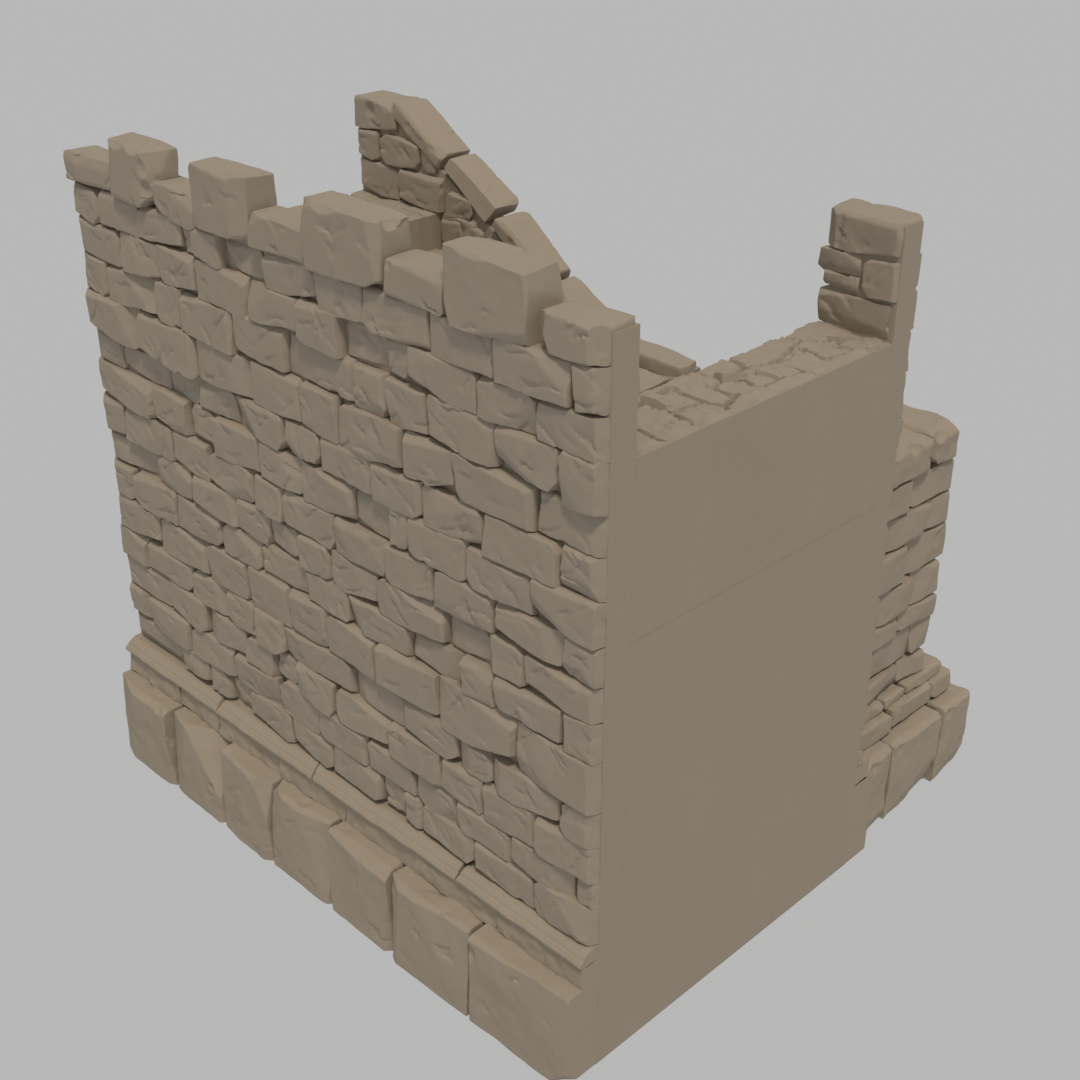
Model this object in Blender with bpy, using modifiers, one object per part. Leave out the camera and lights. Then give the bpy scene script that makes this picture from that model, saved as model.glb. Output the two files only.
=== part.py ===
"""Ruined castle wall tile for 28 to 32 mm tabletop miniatures.

Units are metres, +Z up. The origin is the centre of the wall's footprint on the
ground. +X runs along the wall to the flat join face, -Y is the outer (front) side,
and the low pier stands behind the wall on the +Y side.

Tables are in millimetres: `d` is the distance from the +X join face, `y` the depth
behind the front wall core's face, and `z` the height above the ground.
"""

import bmesh
import bpy
from mathutils import Vector

MM = 0.001

# Driving dimensions, in millimetres
LENGTH = 152.4
WALL_DEPTH = 81.7
CORE_THICKNESS = 5.7
CORE_TOP = 146.2
GAP = 0.3

FOOTING_TOP = 21.4
FOOTING_PROUD = 8.7
BAND_TOP = 27.0
BAND_PROUD = 4.3
MOULDING_TOP = 29.9
MOULDING_PROUD = 2.4

BACKING = 1.0
STONE_PROUD = 2.5
STONE_EXTRAS = (0.35, -0.25, 0.1, -0.45, 0.4)
MOST_EXTRA = max(STONE_EXTRAS)
JOINT_WIDTH = 0.7

FLOOR = 124.6
LOWER_TOP = 91.0
LANDING = 15.8
HEAD_EDGE = 123.6
WELL_FRONT = 42.5
STEP_RISE = 8.375
STEP_RUN = 12.3
STEPS = 3
KERB_WIDTH = 6.7
KERB_RISE = 2.0

COPING_START = 138.0
COPING_END = 55.0
COPING_TOP = 148.3
COPING_SLOPE = 0.63
COPING_THICKNESS = 4.4
COPING_INNER_LAP = 1.0
COPING_OUTER_LAP = 2.3
COPING_JOINT = 0.4
COPING_CLEARANCE = 1.0
PEAK_TOP = 141.0
PEAK_SLAB_TOP = 147.6

STUB = 15.0
STUB_JOINTS = (7.0, 9.5)

PIER_NEAR = 10.8
PIER_FAR = 48.0
PIER_BACK = 118.6
PIER_PLINTH_BACK = 125.2
PIER_TOP = 93.0
PIER_CAP_FROM = 85.0
PIER_CAP_JOINT = 111.7
PIER_SHIFTS = (0.0, 6.0, 2.5, 8.0)
PIER_FIRST_Y = 9.0
PIER_FIRST_X = 8.0
PIER_STONE = 13.0

REAR_SHIFT = 21.0
PEAK_ROWS = (12, 13)
PEAK_PROUD = 2.0

SMALL_BEVEL = 0.5
BLOCK_BEVEL = 0.7
TOP_BEVEL = 0.8
CUTTER_REACH = 5.0

# Heights of the bed joints between the fourteen courses
BEDS = (30.2, 37.6, 45.0, 52.7, 60.5, 69.6, 77.2, 84.8, 93.0, 101.0, 108.3, 117.0,
        125.4, 133.4, 140.4)

# Upright joints in each course of the front, measured from the join face
COURSE_JOINTS = (
    (14.7, 30.4, 45.9, 51.0, 58.2, 73.7, 87.8, 103.4, 111.0, 118.8, 130.0),
    (5.2, 20.6, 35.6, 47.2, 62.1, 77.6, 91.7, 108.2, 125.0, 142.0),
    (14.1, 28.1, 39.4, 55.0, 71.7, 84.3, 92.6, 102.8, 118.0, 132.0),
    (8.1, 25.4, 34.4, 50.0, 66.0, 87.9, 97.9, 109.0, 122.0, 139.7),
    (18.9, 39.3, 57.5, 72.5, 85.0, 99.7, 114.7, 133.5),
    (7.8, 24.5, 32.7, 47.4, 65.2, 78.8, 94.0, 108.0, 125.0, 142.0),
    (17.0, 25.0, 37.2, 56.0, 70.0, 80.5, 90.0, 101.0, 117.0, 131.0),
    (8.0, 24.2, 40.0, 53.0, 68.0, 84.2, 94.3, 110.0, 123.2, 142.0),
    (15.0, 31.0, 46.2, 52.0, 62.0, 77.5, 91.0, 107.0, 122.0, 129.0),
    (8.8, 26.5, 42.3, 55.6, 70.8, 81.5, 98.5, 112.0, 122.8, 140.2),
    (14.6, 33.5, 46.5, 64.6, 76.0, 91.5, 109.7, 131.0),
    (9.0, 23.0, 40.0, 50.6, 59.5, 79.5, 95.7, 113.5, 122.5, 141.2),
    (14.0, 27.5, 43.8, 50.0, 62.5, 74.4, 90.2, 107.0, 120.0, 134.5),
    (6.2, 23.0, 38.8, 55.5, 68.2, 84.0, 97.8, 106.0, 110.2, 126.0, 140.2),
)

# Top blocks: near and far end, bottom, top, how proud of the core, back edge
TOP_BLOCKS = (
    (133.0, 152.4, 141.0, 148.4, 2.6, 5.4),
    (118.4, 132.7, 141.0, 153.5, 3.6, 5.2),
    (104.2, 118.1, 140.8, 147.6, 2.6, 5.4),
    (86.9, 103.9, 140.8, 153.4, 3.4, 5.6),
    (70.0, 86.6, 140.9, 147.7, 2.6, 5.4),
    (49.6, 69.7, 140.9, 153.4, 3.4, 5.2),
    (34.1, 49.3, 140.7, 147.7, 2.6, 5.4),
    (12.4, 33.8, 140.7, 153.2, 3.5, 5.6),
    (0.0, 12.1, 140.7, 147.6, 2.6, 5.4),
)

# Footing blocks along the front: joints, and how proud each block's face stands
FOOTING_JOINTS = (0.0, 26.0, 49.8, 69.9, 90.2, 109.5, 129.5, LENGTH)
FOOTING_FACES = (9.2, 9.6, 8.9, 8.7, 9.4, 8.8, 9.3)

MOULDING_JOINTS = (0.0, 33.2, 78.6, 113.8, LENGTH)
COPING_JOINTS = (COPING_END, 70.5, 86.9, 104.0, 120.1, COPING_START)

STONE = (0.246, 0.205, 0.156)
CORE = (0.235, 0.195, 0.150)
TOP_STONE = (0.296, 0.238, 0.178)


def along(d):
    """World X of a distance from the join face."""
    return (LENGTH / 2 - d) * MM


def deep(y):
    """World Y of a depth behind the front core's face."""
    return (y - WALL_DEPTH / 2) * MM


def clear_scene():
    for old in list(bpy.data.objects):
        bpy.data.objects.remove(old, do_unlink=True)


def make_collection(name):
    collection = bpy.data.collections.new(name)
    bpy.context.scene.collection.children.link(collection)
    return collection


def make_material(name, colour, roughness):
    material = bpy.data.materials.new(name)
    material.use_nodes = True
    shader = material.node_tree.nodes["Principled BSDF"]
    shader.inputs["Base Color"].default_value = (*colour, 1.0)
    shader.inputs["Roughness"].default_value = roughness
    shader.inputs["Metallic"].default_value = 0.0
    material.diffuse_color = (*colour, 1.0)
    return material


clear_scene()
PARTS = make_collection("terrain_ruin")
CUTTERS = make_collection("cutters")
CORE_STONE = make_material("core_stone", CORE, 0.9)
WALL_STONE = make_material("wall_stone", STONE, 0.88)
PLINTH_STONE = make_material("plinth_stone", STONE, 0.88)
PAVING_STONE = make_material("paving_stone", TOP_STONE, 0.86)
COPING_STONE = make_material("coping_stone", TOP_STONE, 0.86)


def add_mesh(name, bm, material, collection=PARTS):
    mesh = bpy.data.meshes.new(name)
    bm.to_mesh(mesh)
    bm.free()
    mesh.materials.append(material)
    thing = bpy.data.objects.new(name, mesh)
    collection.objects.link(thing)
    return thing


def add_box(bm, d_range, y_range, z_range):
    """A box from a distance, a depth and a height range, all in millimetres."""
    low = Vector((along(max(d_range)), deep(min(y_range)), min(z_range) * MM))
    high = Vector((along(min(d_range)), deep(max(y_range)), max(z_range) * MM))
    corners = bmesh.ops.create_cube(bm, size=1.0)["verts"]
    bmesh.ops.scale(bm, vec=high - low, verts=corners)
    bmesh.ops.translate(bm, vec=(high + low) / 2, verts=corners)


def block(name, d_range, y_range, z_range, material, bevel=0.0):
    bm = bmesh.new()
    add_box(bm, d_range, y_range, z_range)
    thing = add_mesh(name, bm, material)
    if bevel:
        edge = thing.modifiers.new("worn_edges", "BEVEL")
        edge.width = bevel * MM
        edge.segments = 1
    return thing


def as_cutter(thing):
    thing.hide_render = True
    thing.display_type = "WIRE"
    return thing


def combine(thing, other, operation):
    boolean = thing.modifiers.new(other.name, "BOOLEAN")
    boolean.operation = operation
    boolean.solver = "EXACT"
    boolean.object = other


def boxes(name, ranges, material):
    """Separate boxes in one hidden object, for a Boolean."""
    bm = bmesh.new()
    for d_range, y_range, z_range in ranges:
        add_box(bm, d_range, y_range, z_range)
    return as_cutter(add_mesh(name, bm, material, CUTTERS))


def outline(name, points, near, far, material, upright=True):
    """A flat outline made thick.

    Upright outlines hold (d, z) points and run from depth near to far; the others
    are plans that hold (d, y) points and run from height near to far.
    """
    curve = bpy.data.curves.new(name, "CURVE")
    curve.dimensions = "2D"
    curve.fill_mode = "BOTH"
    curve.extrude = (far - near) / 2 * MM
    spline = curve.splines.new("POLY")
    spline.points.add(len(points) - 1)
    spline.use_cyclic_u = True
    for point, (d, other) in zip(spline.points, points):
        second = other * MM if upright else deep(other)
        point.co = (along(d), second, 0.0, 1.0)
    source = bpy.data.objects.new(name + "_outline", curve)
    PARTS.objects.link(source)
    graph = bpy.context.evaluated_depsgraph_get()
    mesh = bpy.data.meshes.new_from_object(source.evaluated_get(graph))
    bpy.data.objects.remove(source)
    bm = bmesh.new()
    bm.from_mesh(mesh)
    bpy.data.meshes.remove(mesh)
    bmesh.ops.remove_doubles(bm, verts=bm.verts, dist=0.00001)
    for vert in bm.verts:
        x, second, thick = vert.co
        if upright:
            vert.co = (x, deep((near + far) / 2) + thick, second)
        else:
            vert.co = (x, second, (near + far) / 2 * MM + thick)
    bm.normal_update()
    bmesh.ops.recalc_face_normals(bm, faces=bm.faces)
    return add_mesh(name, bm, material)


def stone_edges(joints, near, far):
    """Start and end of each stone between two limits, with a joint between them."""
    edges = [near, *sorted(j for j in joints if near + 2 < j < far - 2), far]
    for index, (start, end) in enumerate(zip(edges, edges[1:])):
        yield (start + (JOINT_WIDTH / 2 if index else 0.0),
               end - (JOINT_WIDTH / 2 if end != far else 0.0))


def proud(index, row):
    """How far a stone stands out: most near the mean, some set back."""
    return STONE_PROUD + STONE_EXTRAS[(index * 2 + row * 3) % len(STONE_EXTRAS)]


def make_cores():
    wall_back = WALL_DEPTH - CORE_THICKNESS
    inner = (CORE_THICKNESS + GAP, wall_back - GAP)
    block("front_wall_core", (0, LENGTH), (0, CORE_THICKNESS), (0, CORE_TOP), CORE_STONE)
    block("lower_core", (0, LENGTH), inner, (0, LOWER_TOP), CORE_STONE)
    upper = (LOWER_TOP + GAP, FLOOR)
    block("landing_block", (0, LANDING), inner, upper, PAVING_STONE)
    kerb_front = WELL_FRONT - KERB_WIDTH
    block("walkway_block", (LANDING + GAP, LENGTH), (inner[0], kerb_front - GAP), upper,
          PAVING_STONE)
    kerb = (
        (LANDING + GAP, LOWER_TOP + GAP),
        (LENGTH, LOWER_TOP + GAP),
        (LENGTH, FLOOR),
        (HEAD_EDGE, FLOOR),
        (HEAD_EDGE, FLOOR + KERB_RISE),
        (LANDING + GAP, FLOOR + KERB_RISE),
    )
    outline("kerb_wall", kerb, kerb_front, WELL_FRONT, COPING_STONE)
    block("head_platform_block", (HEAD_EDGE + GAP, LENGTH),
          (WELL_FRONT + GAP, inner[1]), upper, PAVING_STONE)
    rear = (
        (0, 0),
        (LENGTH, 0),
        (LENGTH, PEAK_TOP),
        (COPING_START + COPING_CLEARANCE, PEAK_TOP),
        (COPING_END, coping_line(COPING_END) - COPING_THICKNESS - GAP),
        (COPING_END, LOWER_TOP),
        (STUB, LOWER_TOP),
        (STUB, CORE_TOP),
        (0, CORE_TOP),
    )
    outline("rear_wall_core", rear, wall_back, WALL_DEPTH, CORE_STONE)
    block("pier_core", (PIER_NEAR, PIER_FAR), (WALL_DEPTH + GAP, PIER_BACK),
          (0, PIER_CAP_FROM - GAP), CORE_STONE)


def coping_line(d):
    """Height of the coping's top at a distance from the join face."""
    return COPING_TOP - COPING_SLOPE * (COPING_START - d)


def make_stairs():
    points = [(HEAD_EDGE, LOWER_TOP + GAP)]
    for step in range(STEPS):
        tread = FLOOR - STEP_RISE * (step + 1)
        start = HEAD_EDGE - STEP_RUN * step
        points += [(start, tread), (start - STEP_RUN, tread)]
    points.append((HEAD_EDGE - STEP_RUN * STEPS, LOWER_TOP + GAP))
    outline("stair_flight", points, WELL_FRONT + GAP,
            WALL_DEPTH - CORE_THICKNESS - GAP, PAVING_STONE)


def make_front_plinth():
    for number, (near, far) in enumerate(zip(FOOTING_JOINTS, FOOTING_JOINTS[1:]), 1):
        block(f"front_footing_{number}",
              (near + (GAP if near else 0), far), (-FOOTING_FACES[number - 1], -GAP),
              (0, FOOTING_TOP), PLINTH_STONE, BLOCK_BEVEL)
    block("front_band", (0, LENGTH), (-BAND_PROUD, -GAP), (FOOTING_TOP + GAP, BAND_TOP),
          PLINTH_STONE)
    for number, (near, far) in enumerate(zip(MOULDING_JOINTS, MOULDING_JOINTS[1:]), 1):
        bm = bmesh.new()
        add_box(bm, (near + (GAP if near else 0), far), (-BAND_PROUD, -GAP),
                (BAND_TOP + GAP, MOULDING_TOP))
        top_front = [v for v in bm.verts if v.co.y < deep(-MOULDING_PROUD) and
                     v.co.z > BAND_TOP * MM + GAP * 2 * MM]
        bmesh.ops.translate(bm, vec=(0, (BAND_PROUD - MOULDING_PROUD) * MM, 0),
                            verts=top_front)
        add_mesh(f"front_moulding_{number}", bm, PLINTH_STONE)


def make_front_courses():
    """Each course is one strip: a thin backing with its stones standing out of it."""
    for row, joints in enumerate(COURSE_JOINTS):
        front = []
        for index, (start, end) in enumerate(stone_edges(joints, 0.0, LENGTH)):
            face = -proud(index, row)
            front += [(start, -BACKING - GAP), (start, face), (end, face),
                      (end, -BACKING - GAP)]
        front[0] = (0.0, -GAP)
        front[-1] = (LENGTH, -GAP)
        outline(f"front_course_{row + 1:02d}", front, BEDS[row] + GAP, BEDS[row + 1],
                WALL_STONE, upright=False)


def make_top_blocks():
    slot = boxes("core_slot", [((-CUTTER_REACH, LENGTH + CUTTER_REACH),
                                (-GAP, CORE_THICKNESS + CUTTER_REACH),
                                (0, CORE_TOP + GAP))], CORE_STONE)
    for number, (near, far, low, high, front, back) in enumerate(TOP_BLOCKS, 1):
        thing = block(f"top_block_{number}", (near, far), (-front, back), (low, high),
                      WALL_STONE, TOP_BEVEL)
        combine(thing, slot, "DIFFERENCE")


def panel_stones(depths, rows, limits, shift=0.0):
    """Boxes for the stones of a panel; limits(row) gives its near and far end."""
    inner, outer = depths
    for row in rows:
        near, far = limits(row)
        joints = [(j + shift) % LENGTH for j in COURSE_JOINTS[row]]
        for index, (start, end) in enumerate(stone_edges(joints, near, far)):
            grow = (proud(index, row) - STONE_PROUD) * (1 if outer > inner else -1)
            yield ((start, end), (inner, outer + grow),
                   (BEDS[row] + GAP, BEDS[row + 1] - GAP))


def under_coping(z):
    """Distance at which a height comes to just below the coping's underside."""
    drop = COPING_TOP - COPING_THICKNESS - COPING_CLEARANCE - z
    return COPING_START - drop / COPING_SLOPE


def make_rear_facing():
    """Stones on the outer side of the rear wall, beyond the pier."""
    back = WALL_DEPTH + GAP
    pier_side = PIER_FAR + STONE_PROUD + COPING_CLEARANCE
    under = COPING_THICKNESS + COPING_CLEARANCE

    def limits(row):
        return max(pier_side, under_coping(BEDS[row + 1])), LENGTH

    backing = (
        (LENGTH, BEDS[0] + GAP),
        (pier_side, BEDS[0] + GAP),
        (pier_side, coping_line(pier_side) - under),
        (under_coping(PEAK_TOP), PEAK_TOP),
        (LENGTH, PEAK_TOP),
    )
    thing = outline("rear_facing", backing, back, back + BACKING, WALL_STONE)
    rows = range(len(COURSE_JOINTS))
    stones = boxes("rear_facing_stones",
                   panel_stones((back + BACKING / 2, back + STONE_PROUD), rows, limits,
                                REAR_SHIFT), WALL_STONE)
    combine(thing, stones, "UNION")


def make_peak_facing():
    """Stones on the walkway side of the rear wall, from the treads to the coping."""
    front = WALL_DEPTH - CORE_THICKNESS - GAP

    def limits(row):
        return under_coping(BEDS[row + 1]), LENGTH

    low = FLOOR + GAP
    backing = (
        (LENGTH, low),
        (under_coping(low), low),
        (under_coping(PEAK_TOP), PEAK_TOP),
        (LENGTH, PEAK_TOP),
    )
    thing = outline("peak_facing", backing, front - BACKING, front, WALL_STONE)
    stones = boxes("peak_facing_stones",
                   panel_stones((front - BACKING / 2, front - PEAK_PROUD),
                                PEAK_ROWS, limits), WALL_STONE)
    combine(thing, stones, "UNION")


def make_coping():
    """Sloping slabs on the rear wall, and the level slab on its peak."""
    front = WALL_DEPTH - CORE_THICKNESS - COPING_INNER_LAP
    back = WALL_DEPTH + COPING_OUTER_LAP
    block("peak_slab", (COPING_START + COPING_JOINT, LENGTH), (front, back),
          (PEAK_TOP + GAP, PEAK_SLAB_TOP), WALL_STONE, BLOCK_BEVEL)
    for number, (near, far) in enumerate(zip(COPING_JOINTS, COPING_JOINTS[1:]), 1):
        near += COPING_JOINT / 2
        far -= COPING_JOINT / 2
        slab = (
            (near, coping_line(near)),
            (near, coping_line(near) - COPING_THICKNESS),
            (far, coping_line(far) - COPING_THICKNESS),
            (far, coping_line(far)),
        )
        outline(f"coping_slab_{number}", slab, front, back, COPING_STONE)


def ring(offset, with_strip, rear=PIER_BACK):
    """Plan round the pier's three sides, with or without the strip to the join face."""
    near = PIER_NEAR - offset
    far = PIER_FAR + offset
    back = rear + offset
    wall = WALL_DEPTH + GAP
    strip = [(0.0, wall + offset), (near, wall + offset)] if with_strip else [(near, wall)]
    return strip + [(near, back), (far, back), (far, wall)]


def sleeve(name, inner, outer, low, high, material, with_strip=True, rear=PIER_BACK):
    """A band round the pier, even in thickness unless its outside starts further back."""
    plan = ring(outer, with_strip, rear) + list(reversed(ring(inner, with_strip)))
    return outline(name, plan, low, high, material, upright=False)


def pier_stones(row):
    """Stones of one course on the pier's three sides."""
    z_range = (BEDS[row] + GAP, BEDS[row + 1] - GAP)
    inner = BACKING / 2 + GAP
    shift = PIER_SHIFTS[row % len(PIER_SHIFTS)]
    wall = WALL_DEPTH + GAP
    y_start = wall + JOINT_WIDTH
    y_joints = [wall + PIER_FIRST_Y + PIER_STONE * step + shift for step in range(3)]
    sides = stone_edges(y_joints, y_start, PIER_BACK + STONE_PROUD)
    for index, (start, end) in enumerate(sides):
        face = proud(index, row)
        yield (PIER_NEAR - face, PIER_NEAR - inner), (start, end), z_range
        yield (PIER_FAR + inner, PIER_FAR + face), (start, end), z_range

    x_joints = [PIER_NEAR + PIER_FIRST_X + PIER_STONE * step + shift for step in range(2)]
    ends = stone_edges(x_joints, PIER_NEAR + JOINT_WIDTH, PIER_FAR - JOINT_WIDTH)
    for index, (start, end) in enumerate(ends):
        yield (start, end), (PIER_BACK + inner, PIER_BACK + proud(index, row)), z_range


def make_pier():
    facing = sleeve("pier_facing", GAP, BACKING + GAP, BEDS[0] + GAP,
                    PIER_CAP_FROM - GAP, WALL_STONE, with_strip=False)
    rows = [row for row, bed in enumerate(BEDS) if bed < PIER_CAP_FROM - JOINT_WIDTH]
    stones = [stone for row in rows for stone in pier_stones(row)]
    combine(facing, boxes("pier_stones", stones, WALL_STONE), "UNION")

    sleeve("pier_footing", GAP, FOOTING_PROUD, 0.0, FOOTING_TOP, PLINTH_STONE,
           rear=PIER_PLINTH_BACK)
    sleeve("pier_band", GAP, BAND_PROUD, FOOTING_TOP + GAP, MOULDING_TOP, PLINTH_STONE,
           rear=PIER_PLINTH_BACK)
    caps = (
        ("pier_cap_inner", WALL_DEPTH + GAP, PIER_CAP_JOINT),
        ("pier_cap_outer", PIER_CAP_JOINT + GAP, PIER_BACK + STONE_PROUD),
    )
    for name, start, end in caps:
        block(name, (PIER_NEAR - STONE_PROUD, PIER_FAR + STONE_PROUD), (start, end),
              (PIER_CAP_FROM, PIER_TOP), COPING_STONE, BLOCK_BEVEL)


def make_rear_plinth():
    """The same profile as the front, as far as the pier's footing."""
    start = PIER_FAR + FOOTING_PROUD + GAP
    back = WALL_DEPTH + GAP
    block("rear_footing", (start, LENGTH), (back, WALL_DEPTH + FOOTING_PROUD),
          (0, FOOTING_TOP), PLINTH_STONE, BLOCK_BEVEL)
    block("rear_band", (PIER_FAR + BAND_PROUD + GAP, LENGTH),
          (back, WALL_DEPTH + BAND_PROUD), (FOOTING_TOP + GAP, MOULDING_TOP),
          PLINTH_STONE, SMALL_BEVEL)


def make_stub():
    """Stones round the broken upright, and on the strip below it beside the pier."""
    back = WALL_DEPTH + GAP
    front = WALL_DEPTH - CORE_THICKNESS - GAP
    side = STUB + GAP
    strip_end = PIER_NEAR - STONE_PROUD - MOST_EXTRA - GAP
    plan = (
        (0.0, back),
        (side, back),
        (side, front),
        (side + BACKING, front),
        (side + BACKING, back + BACKING),
        (0.0, back + BACKING),
    )
    facing = outline("stub_facing", plan, PIER_TOP + GAP, CORE_TOP, WALL_STONE,
                     upright=False)
    strip = ((0.0, strip_end), (back, back + BACKING), (BEDS[0] + GAP, PIER_TOP + GAP * 2))
    combine(facing, boxes("stub_strip", [strip], WALL_STONE), "UNION")
    inner = back + BACKING / 2
    outer = back - GAP
    stones = []
    for row, bed in enumerate(BEDS[:-1]):
        z_range = (bed + GAP * 2, BEDS[row + 1] - GAP)
        if bed < PIER_TOP:
            stones.append(((0.0, strip_end), (inner, outer + proud(0, row)), z_range))
            continue
        split = STUB_JOINTS[row % 2]
        stones += [
            ((0.0, split), (inner, outer + proud(0, row)), z_range),
            ((split + JOINT_WIDTH, side + BACKING / 2),
             (inner, outer + proud(1, row)), z_range),
        ]
    combine(facing, boxes("stub_outer_stones", stones, WALL_STONE), "UNION")


make_cores()
make_stairs()
make_front_plinth()
make_front_courses()
make_top_blocks()
make_rear_facing()
make_peak_facing()
make_coping()
make_pier()
make_rear_plinth()
make_stub()
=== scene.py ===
"""Looks of the ruined castle wall tile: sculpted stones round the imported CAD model.

Stones are worked in millimetres in a frame of their own: x = 0 is the flat join face
and x runs negative along the wall, y = 0 is the front core's face and z = 0 the
ground. `to_world` turns that into the shared frame, whose places come from the CAD.
"""

import itertools
import math

import bpy
import numpy as np
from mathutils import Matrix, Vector


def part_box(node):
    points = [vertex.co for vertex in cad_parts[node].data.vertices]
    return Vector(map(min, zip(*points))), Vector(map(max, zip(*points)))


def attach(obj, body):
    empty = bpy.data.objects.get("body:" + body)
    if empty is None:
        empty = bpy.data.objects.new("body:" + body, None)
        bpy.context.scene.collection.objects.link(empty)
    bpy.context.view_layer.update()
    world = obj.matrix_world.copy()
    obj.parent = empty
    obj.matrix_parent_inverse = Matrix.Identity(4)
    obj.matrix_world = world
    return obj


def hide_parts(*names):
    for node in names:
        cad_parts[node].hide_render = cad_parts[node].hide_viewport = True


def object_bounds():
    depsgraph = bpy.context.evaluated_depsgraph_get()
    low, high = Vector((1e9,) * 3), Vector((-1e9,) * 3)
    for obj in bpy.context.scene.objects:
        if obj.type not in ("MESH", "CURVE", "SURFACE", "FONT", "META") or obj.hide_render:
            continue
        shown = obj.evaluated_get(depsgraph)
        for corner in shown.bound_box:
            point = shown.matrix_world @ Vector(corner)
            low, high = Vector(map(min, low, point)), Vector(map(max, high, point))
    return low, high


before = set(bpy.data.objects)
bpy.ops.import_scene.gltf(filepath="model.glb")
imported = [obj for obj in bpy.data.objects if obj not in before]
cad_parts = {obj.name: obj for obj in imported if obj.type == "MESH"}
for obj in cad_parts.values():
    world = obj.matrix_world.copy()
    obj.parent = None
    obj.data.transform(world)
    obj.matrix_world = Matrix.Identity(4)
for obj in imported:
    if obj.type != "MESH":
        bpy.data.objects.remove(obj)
cad_low, cad_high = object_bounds()

MM = 0.001
CORE_LOW, CORE_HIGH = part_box("front_wall_core")
REAR_LOW, REAR_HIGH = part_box("rear_wall_core")
JOIN_X = CORE_HIGH[0] / MM
FRONT_Y = CORE_LOW[1] / MM
LENGTH = (CORE_HIGH[0] - CORE_LOW[0]) / MM
CORE = (CORE_HIGH[1] - CORE_LOW[1]) / MM
CORE_TOP = CORE_HIGH[2] / MM
REAR_IN = REAR_LOW[1] / MM - FRONT_Y
REAR_OUT = REAR_HIGH[1] / MM - FRONT_Y
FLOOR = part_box("landing_block")[1][2] / MM
FOOT_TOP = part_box("front_footing_1")[1][2] / MM

LEFT_END, RIGHT_END = -LENGTH, 0.0

SEAM = 0.02  # between faces that meet on one plane
EMBED = 0.6  # how deep a facing stone sits in the core
seeded = np.random.default_rng

BASIS_FRONT = ((1, 0, 0), (0, 0, 1), (0, -1, 0))
BASIS_REAR = ((-1, 0, 0), (0, 0, 1), (0, 1, 0))
BASIS_LEFT = ((0, -1, 0), (0, 0, 1), (-1, 0, 0))
BASIS_UP = ((1, 0, 0), (0, 1, 0), (0, 0, 1))
# Faces of a block as (axis, sign)
UNDERSIDE, FRONT_SIDE, REAR_SIDE = (2, -1), (1, -1), (1, 1)


def to_world(points):
    return (np.asarray(points) + (JOIN_X, FRONT_Y, 0.0)) * MM


# Noise and shaping

LATTICE = seeded(7).uniform(-1.0, 1.0, 8192)
PRIMES = np.array((73856093, 19349663, 83492791), dtype=np.int64)


def noise(points, scale, seed):
    """Smooth random values between -1 and 1 with features of a size in mm."""
    place = np.asarray(points) / scale + (seed * 17.31 % 97, seed * 5.77 % 89, 0.5)
    cell = np.floor(place).astype(np.int64)
    part = place - cell
    part = part * part * (3.0 - 2.0 * part)
    total = np.zeros(len(place))
    for corner in range(8):
        step = np.array((corner & 1, corner >> 1 & 1, corner >> 2 & 1))
        key = ((cell + step) * PRIMES).sum(axis=1) + seed * 1013
        weight = np.prod(np.where(step, part, 1.0 - part), axis=1)
        total += weight * LATTICE[key % 8192]
    return total


def wander(points, scale, seed):
    """Three independent noises as a displacement."""
    return np.stack([noise(points, scale, seed + k * 31) for k in range(3)], axis=1)


def unit(vector):
    vector = np.asarray(vector, float)
    return vector / np.linalg.norm(vector)


def clip(points, normal, offset, soft=0.05):
    """Presses what lies beyond a plane back on to it, with a soft edge."""
    over = (points @ normal - offset) / soft
    push = soft * np.where(over > 18, over, np.log1p(np.exp(np.minimum(over, 18))))
    points -= np.outer(push, normal)


def cut(points, normal, through, soft=0.05):
    normal = unit(normal)
    clip(points, normal, normal @ np.asarray(through, float), soft)


def bite(points, centre, radius):
    """A scalloped chip: pushes points out of a ball that reaches into the stone."""
    away = points - centre
    far = np.linalg.norm(away, axis=1)
    inside = (far < radius) & (far > 1e-6)
    points[inside] = centre + away[inside] * (radius / far[inside])[:, None]


def ramp(values, low, high):
    x = np.clip((values - low) / (high - low), 0.0, 1.0)
    return x * x * (3.0 - 2.0 * x)


def crease(points, start, end, depth, reach, inward, seed, sharp=0.1):
    """A step in a face along a line: sharp on one side, fading out on the other."""
    start, end, inward = (np.asarray(v, float) for v in (start, end, inward))
    line = end - start
    length = np.linalg.norm(line)
    line = line / length
    side = np.cross(inward, line)
    rel = points - start
    sunk = rel @ inward
    flat = points - np.outer(sunk, inward)
    along = (rel @ line) / length
    across = rel @ side + 0.35 * noise(flat, 1.9, seed) + 0.1 * noise(flat, 0.7, seed)
    across += length * 0.4 * (along - 0.5) ** 2
    window = ramp(along, -0.02, 0.3) * (1.0 - ramp(along, 0.7, 1.02))
    face = 1.0 - ramp(np.abs(sunk), 0.9, 1.8)
    drop = ramp(across, -sharp, sharp) * np.exp(-np.maximum(across, 0.0) / reach)
    points += np.outer(depth * window * face * drop, inward)


def cuts_along(length, pitch):
    """Grid lines along an edge, closer together near its ends."""
    count = max(5, int(round(length / pitch)))
    even = np.linspace(0.0, 1.0, count + 1)
    return length * (0.6 * even + 0.4 * (0.5 - 0.5 * np.cos(np.pi * even)))


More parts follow.
